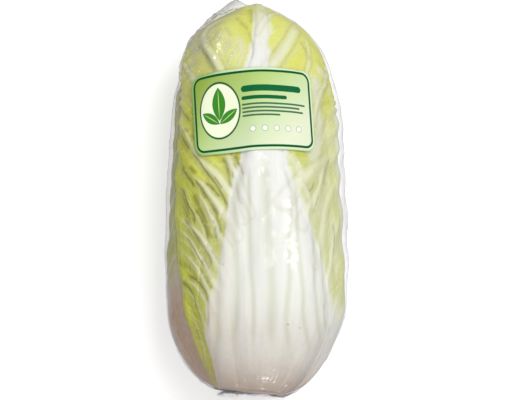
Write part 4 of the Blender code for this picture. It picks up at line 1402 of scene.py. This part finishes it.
def film_chart():
    """Turns round the head and lengths along it of the bag's body, in rows from the mouth to the crown."""
    butt_rows, body_rows, crown_rows = FILM_ROWS
    lengths = np.concatenate([
        np.linspace(-MOUTH_ANGLE, 0, butt_rows + 1)[:-1] * CORE_RADIUS,
        np.linspace(0, BODY_LENGTH, body_rows + 1)[:-1],
        BODY_LENGTH + np.linspace(0, math.pi / 2, crown_rows + 1)[:-1] * CORE_RADIUS])
    return np.meshgrid(np.linspace(0, 2 * math.pi, FILM_COLUMNS, endpoint=False), lengths)


def film_rest(pieces, base, outward):
    """Heights that the film rests on, widened by a point each way so that nothing pokes through."""
    rest = heights_over(surface_of(pieces), base, outward)
    wide = np.maximum(rest, np.maximum(*round_about(rest)))
    wide[1:-1] = np.maximum(wide[1:-1], np.maximum(wide[2:], wide[:-2]))
    return wide + FILM_SLACK


def crumpled_at(turn, along, places):
    """Heights of the film's ridges and pleats, most of them at the crown's left and at the butt."""
    crown_left = fall(turn - CREASED_TURN, 0.5) * smoothstep(0.135, 0.185, along)
    butt_end = smoothstep(0.0, -0.045, along)
    amount = 0.25 + 0.9 * crown_left + 0.5 * butt_end
    pleats = np.clip(np.cos(23 * turn + 2 * np.sin(3 * turn)), 0, None) ** 3 * butt_end
    ridges = sum(creases_of(places, stretch, size, seed) * rise for stretch, size, seed, rise in CRUMPLES)
    return ridges * amount + pleats * PLEAT_HEIGHT, crown_left, butt_end


def film_fields(turn, along, off, ear, crumple, crown_left, butt_end, pole):
    """How hazy and how wrinkled the film is. `off` is how far it stands off what it rests on."""
    rough = crumple / PLEAT_HEIGHT
    stand_off = smoothstep(LOOSE_START, LOOSE_END, off)
    stand_off *= 0.2 + 0.8 * smoothstep(0.02, 0.06, along)
    side_crown = fall(turn - CREASED_TURN, 0.45) * smoothstep(0.150, 0.190, along)
    haze = HAZE * (0.03 + 0.7 * stand_off + 0.20 * np.clip(rough, 0, 1) * pole) + 0.14 * np.sqrt(ear)
    haze += 0.05 * crown_left * (0.3 + np.clip(rough, 0, 1.5))
    haze += 0.16 * side_crown * (0.5 + np.clip(rough, 0, 1.5)) * pole
    wrinkled = np.clip(0.05 + crown_left + 0.08 * butt_end, 0, 1)
    fields = {}
    for name, values, at_mouth, at_tip in (("haze", haze, 0.12, 0.1), ("wrinkled", wrinkled, 0.6, 0.3)):
        face = np.concatenate([np.full(MOUTH_ROWS * FILM_COLUMNS, at_mouth), values.ravel(), [at_tip]])
        fields[name] = np.tile(face, 2)
    return fields


def film_faces(rows):
    """Faces of the bag's outer and inner side, which meet at its mouth."""
    shift = rows * FILM_COLUMNS + 1
    faces = turned_out(tube_faces(rows, FILM_COLUMNS, 0, shift - 1))
    faces += tube_faces(rows, FILM_COLUMNS, shift, 2 * shift - 1)
    for column in range(FILM_COLUMNS):
        beside = (column + 1) % FILM_COLUMNS
        faces.append([column, beside, beside + shift, column + shift])
    return faces


def make_film(pieces, material):
    """The bag: one sheet drawn tight, with loose folds, an ear at the crown and a gathered mouth."""
    turn, along = film_chart()
    direction, station = ring_directions(turn, along)
    base, outward = outward_of(direction, station)
    rest = film_rest(pieces, base, outward)
    ear = make_ear(turn, along)
    crumple, crown_left, butt_end = crumpled_at(turn, along, base + outward * 0.01)
    pole = 1 - smoothstep(BODY_LENGTH + 0.055, BODY_LENGTH + 0.072, along)
    loose = bulges(FILM_FOLDS, turn, along) + EAR_HEIGHT * ear
    height = drawn_tight(rest) + (loose + crumple) * pole
    body = base + height[..., None] * outward

    mouth = make_mouth(turn[0], body)
    outer = np.concatenate([mouth, body])
    keep_above(outer, FILM_FLOOR)
    outward = np.concatenate([np.broadcast_to(outward[0], mouth.shape), outward])
    inner = outer - FILM * normals_of(outer, outward)
    keep_above(inner, FILM_FLOOR + FILM)
    top = grown(np.array([[0.0, BODY_LENGTH + CORE_RADIUS, 0.0]]))
    lift = np.mean(np.linalg.norm(outer[-1] - base[-1], axis=-1))
    points = np.concatenate([outer.reshape(-1, 3), top + AXIS * lift,
                             inner.reshape(-1, 3), top + AXIS * (lift - FILM)])
    fields = film_fields(turn, along, height - rest, ear, crumple, crown_left, butt_end, pole)
    piece = make_object("film_dressed", points, film_faces(len(outer)), material, fields)
    return dress(piece, "film")


def neighbours(height):
    """Mean of the four heights next to each, on a grid that goes on evenly past its edges."""
    padded = np.pad(height, 1, mode="reflect", reflect_type="odd")
    return (padded[1:-1, 2:] + padded[1:-1, :-2] + padded[2:, 1:-1] + padded[:-2, 1:-1]) / 4


def make_label(film, material):
    """The paper label, bent over the film."""
    half_width, half_height = LABEL_WIDTH / 2, LABEL_HEIGHT / 2
    share, up = np.meshgrid(np.linspace(-1, 1, LABEL_COLUMNS + 1),
                            np.linspace(-half_height, half_height, LABEL_ROWS + 1))
    into_corner = np.clip(np.abs(up) - (half_height - LABEL_CORNER), 0, LABEL_CORNER)
    side = share * (half_width - LABEL_CORNER + np.sqrt(LABEL_CORNER**2 - into_corner**2))
    bent = LABEL_BEND * np.sin(side / LABEL_BEND)
    bowed = up + LABEL_BOW * (1 - (side / half_width) ** 2) * (0.5 + up / LABEL_HEIGHT)
    x = LABEL_X + bent * math.cos(LABEL_TURN) - bowed * math.sin(LABEL_TURN)
    y = LABEL_Y + bent * math.sin(LABEL_TURN) + bowed * math.cos(LABEL_TURN)
    under = surface_of([film])
    rest = np.zeros(x.shape)
    for spot in np.ndindex(x.shape):
        rest[spot] = under.ray_cast((x[spot], y[spot], ABOVE_HEAD), (0, 0, -1))[0].z + LABEL_GAP
    height = rest.copy()
    for _ in range(LABEL_PASSES):
        height = np.maximum(rest, neighbours(height))
    for _ in range(LABEL_EASE):
        height = neighbours(height)
    height += np.max(rest - height)
    inner = np.stack([x, y, height], axis=-1)
    normal = np.cross(np.gradient(inner, axis=1), np.gradient(inner, axis=0))
    normal /= np.linalg.norm(normal, axis=-1, keepdims=True)
    outer = inner + LABEL_THICKNESS * normal
    fields = {"print": np.stack([side, up, np.zeros(x.shape)], axis=-1)}
    return dress(make_sheet("label_dressed", inner, outer, material, fields), "label")


# Studio

def stand(thing, place, right, back):
    """Puts a camera or a light at a place, facing away from `back`."""
    axes = np.stack([right, np.cross(back, right), back], axis=-1)
    thing.matrix_world = Matrix.Translation(place) @ Matrix(axes.tolist()).to_4x4()


def make_camera():
    right, _, back = camera_axes()
    camera = add_to_scene("camera", bpy.data.cameras.new("camera"))
    camera.data.lens = LENS
    camera.data.sensor_width = SENSOR
    camera.data.clip_end = 20
    stand(camera, AIM + CAMERA_DISTANCE * back, right, back)
    bpy.context.scene.camera = camera


def make_floor():
    """A wide sheet that only the camera sees, left out of bounced light and reflections."""
    mesh = bpy.data.meshes.new("floor")
    corners = [(x * FLOOR_HALF, y * FLOOR_HALF, FLOOR_LEVEL) for x, y in ((-1, -1), (1, -1), (1, 1), (-1, 1))]
    mesh.from_pydata(corners, [], [(0, 1, 2, 3)])
    mesh.materials.append(floor_material())
    floor = add_to_scene("floor", mesh)
    floor.visible_diffuse = False
    floor.visible_glossy = False


def make_lights():
    """White surroundings, a key light and a fill, and small lights that only show as gleams."""
    scene = bpy.context.scene
    scene.view_settings.view_transform = "Standard"
    scene.world = bpy.data.worlds.new("studio")
    scene.world.use_nodes = True
    background = scene.world.node_tree.nodes["Background"]
    background.inputs["Color"].default_value = (1.0, 1.0, 1.0, 1.0)
    background.inputs["Strength"].default_value = WORLD_LIGHT
    for name, place, size, power, lights_up in LIGHTS:
        light = bpy.data.lights.new(name, "AREA")
        light.shape = "RECTANGLE"
        light.size, light.size_y = size
        light.energy = power
        back = np.array(place) / np.linalg.norm(place)
        right = np.cross(AXIS, back)
        made = add_to_scene(name, light)
        stand(made, place, right / np.linalg.norm(right), back)
        made.visible_diffuse = lights_up
        made.visible_glossy = not lights_up


make_camera()
make_lights()
make_floor()
leaves = make_leaves()
leaf_finish = leaf_material()
dressed = [make_leaf(leaf, leaves[:number], leaf_finish) for number, leaf in enumerate(leaves)]
dressed.append(make_heart(heart_material()))
film = make_film(dressed, film_material())
make_label(film, label_material())
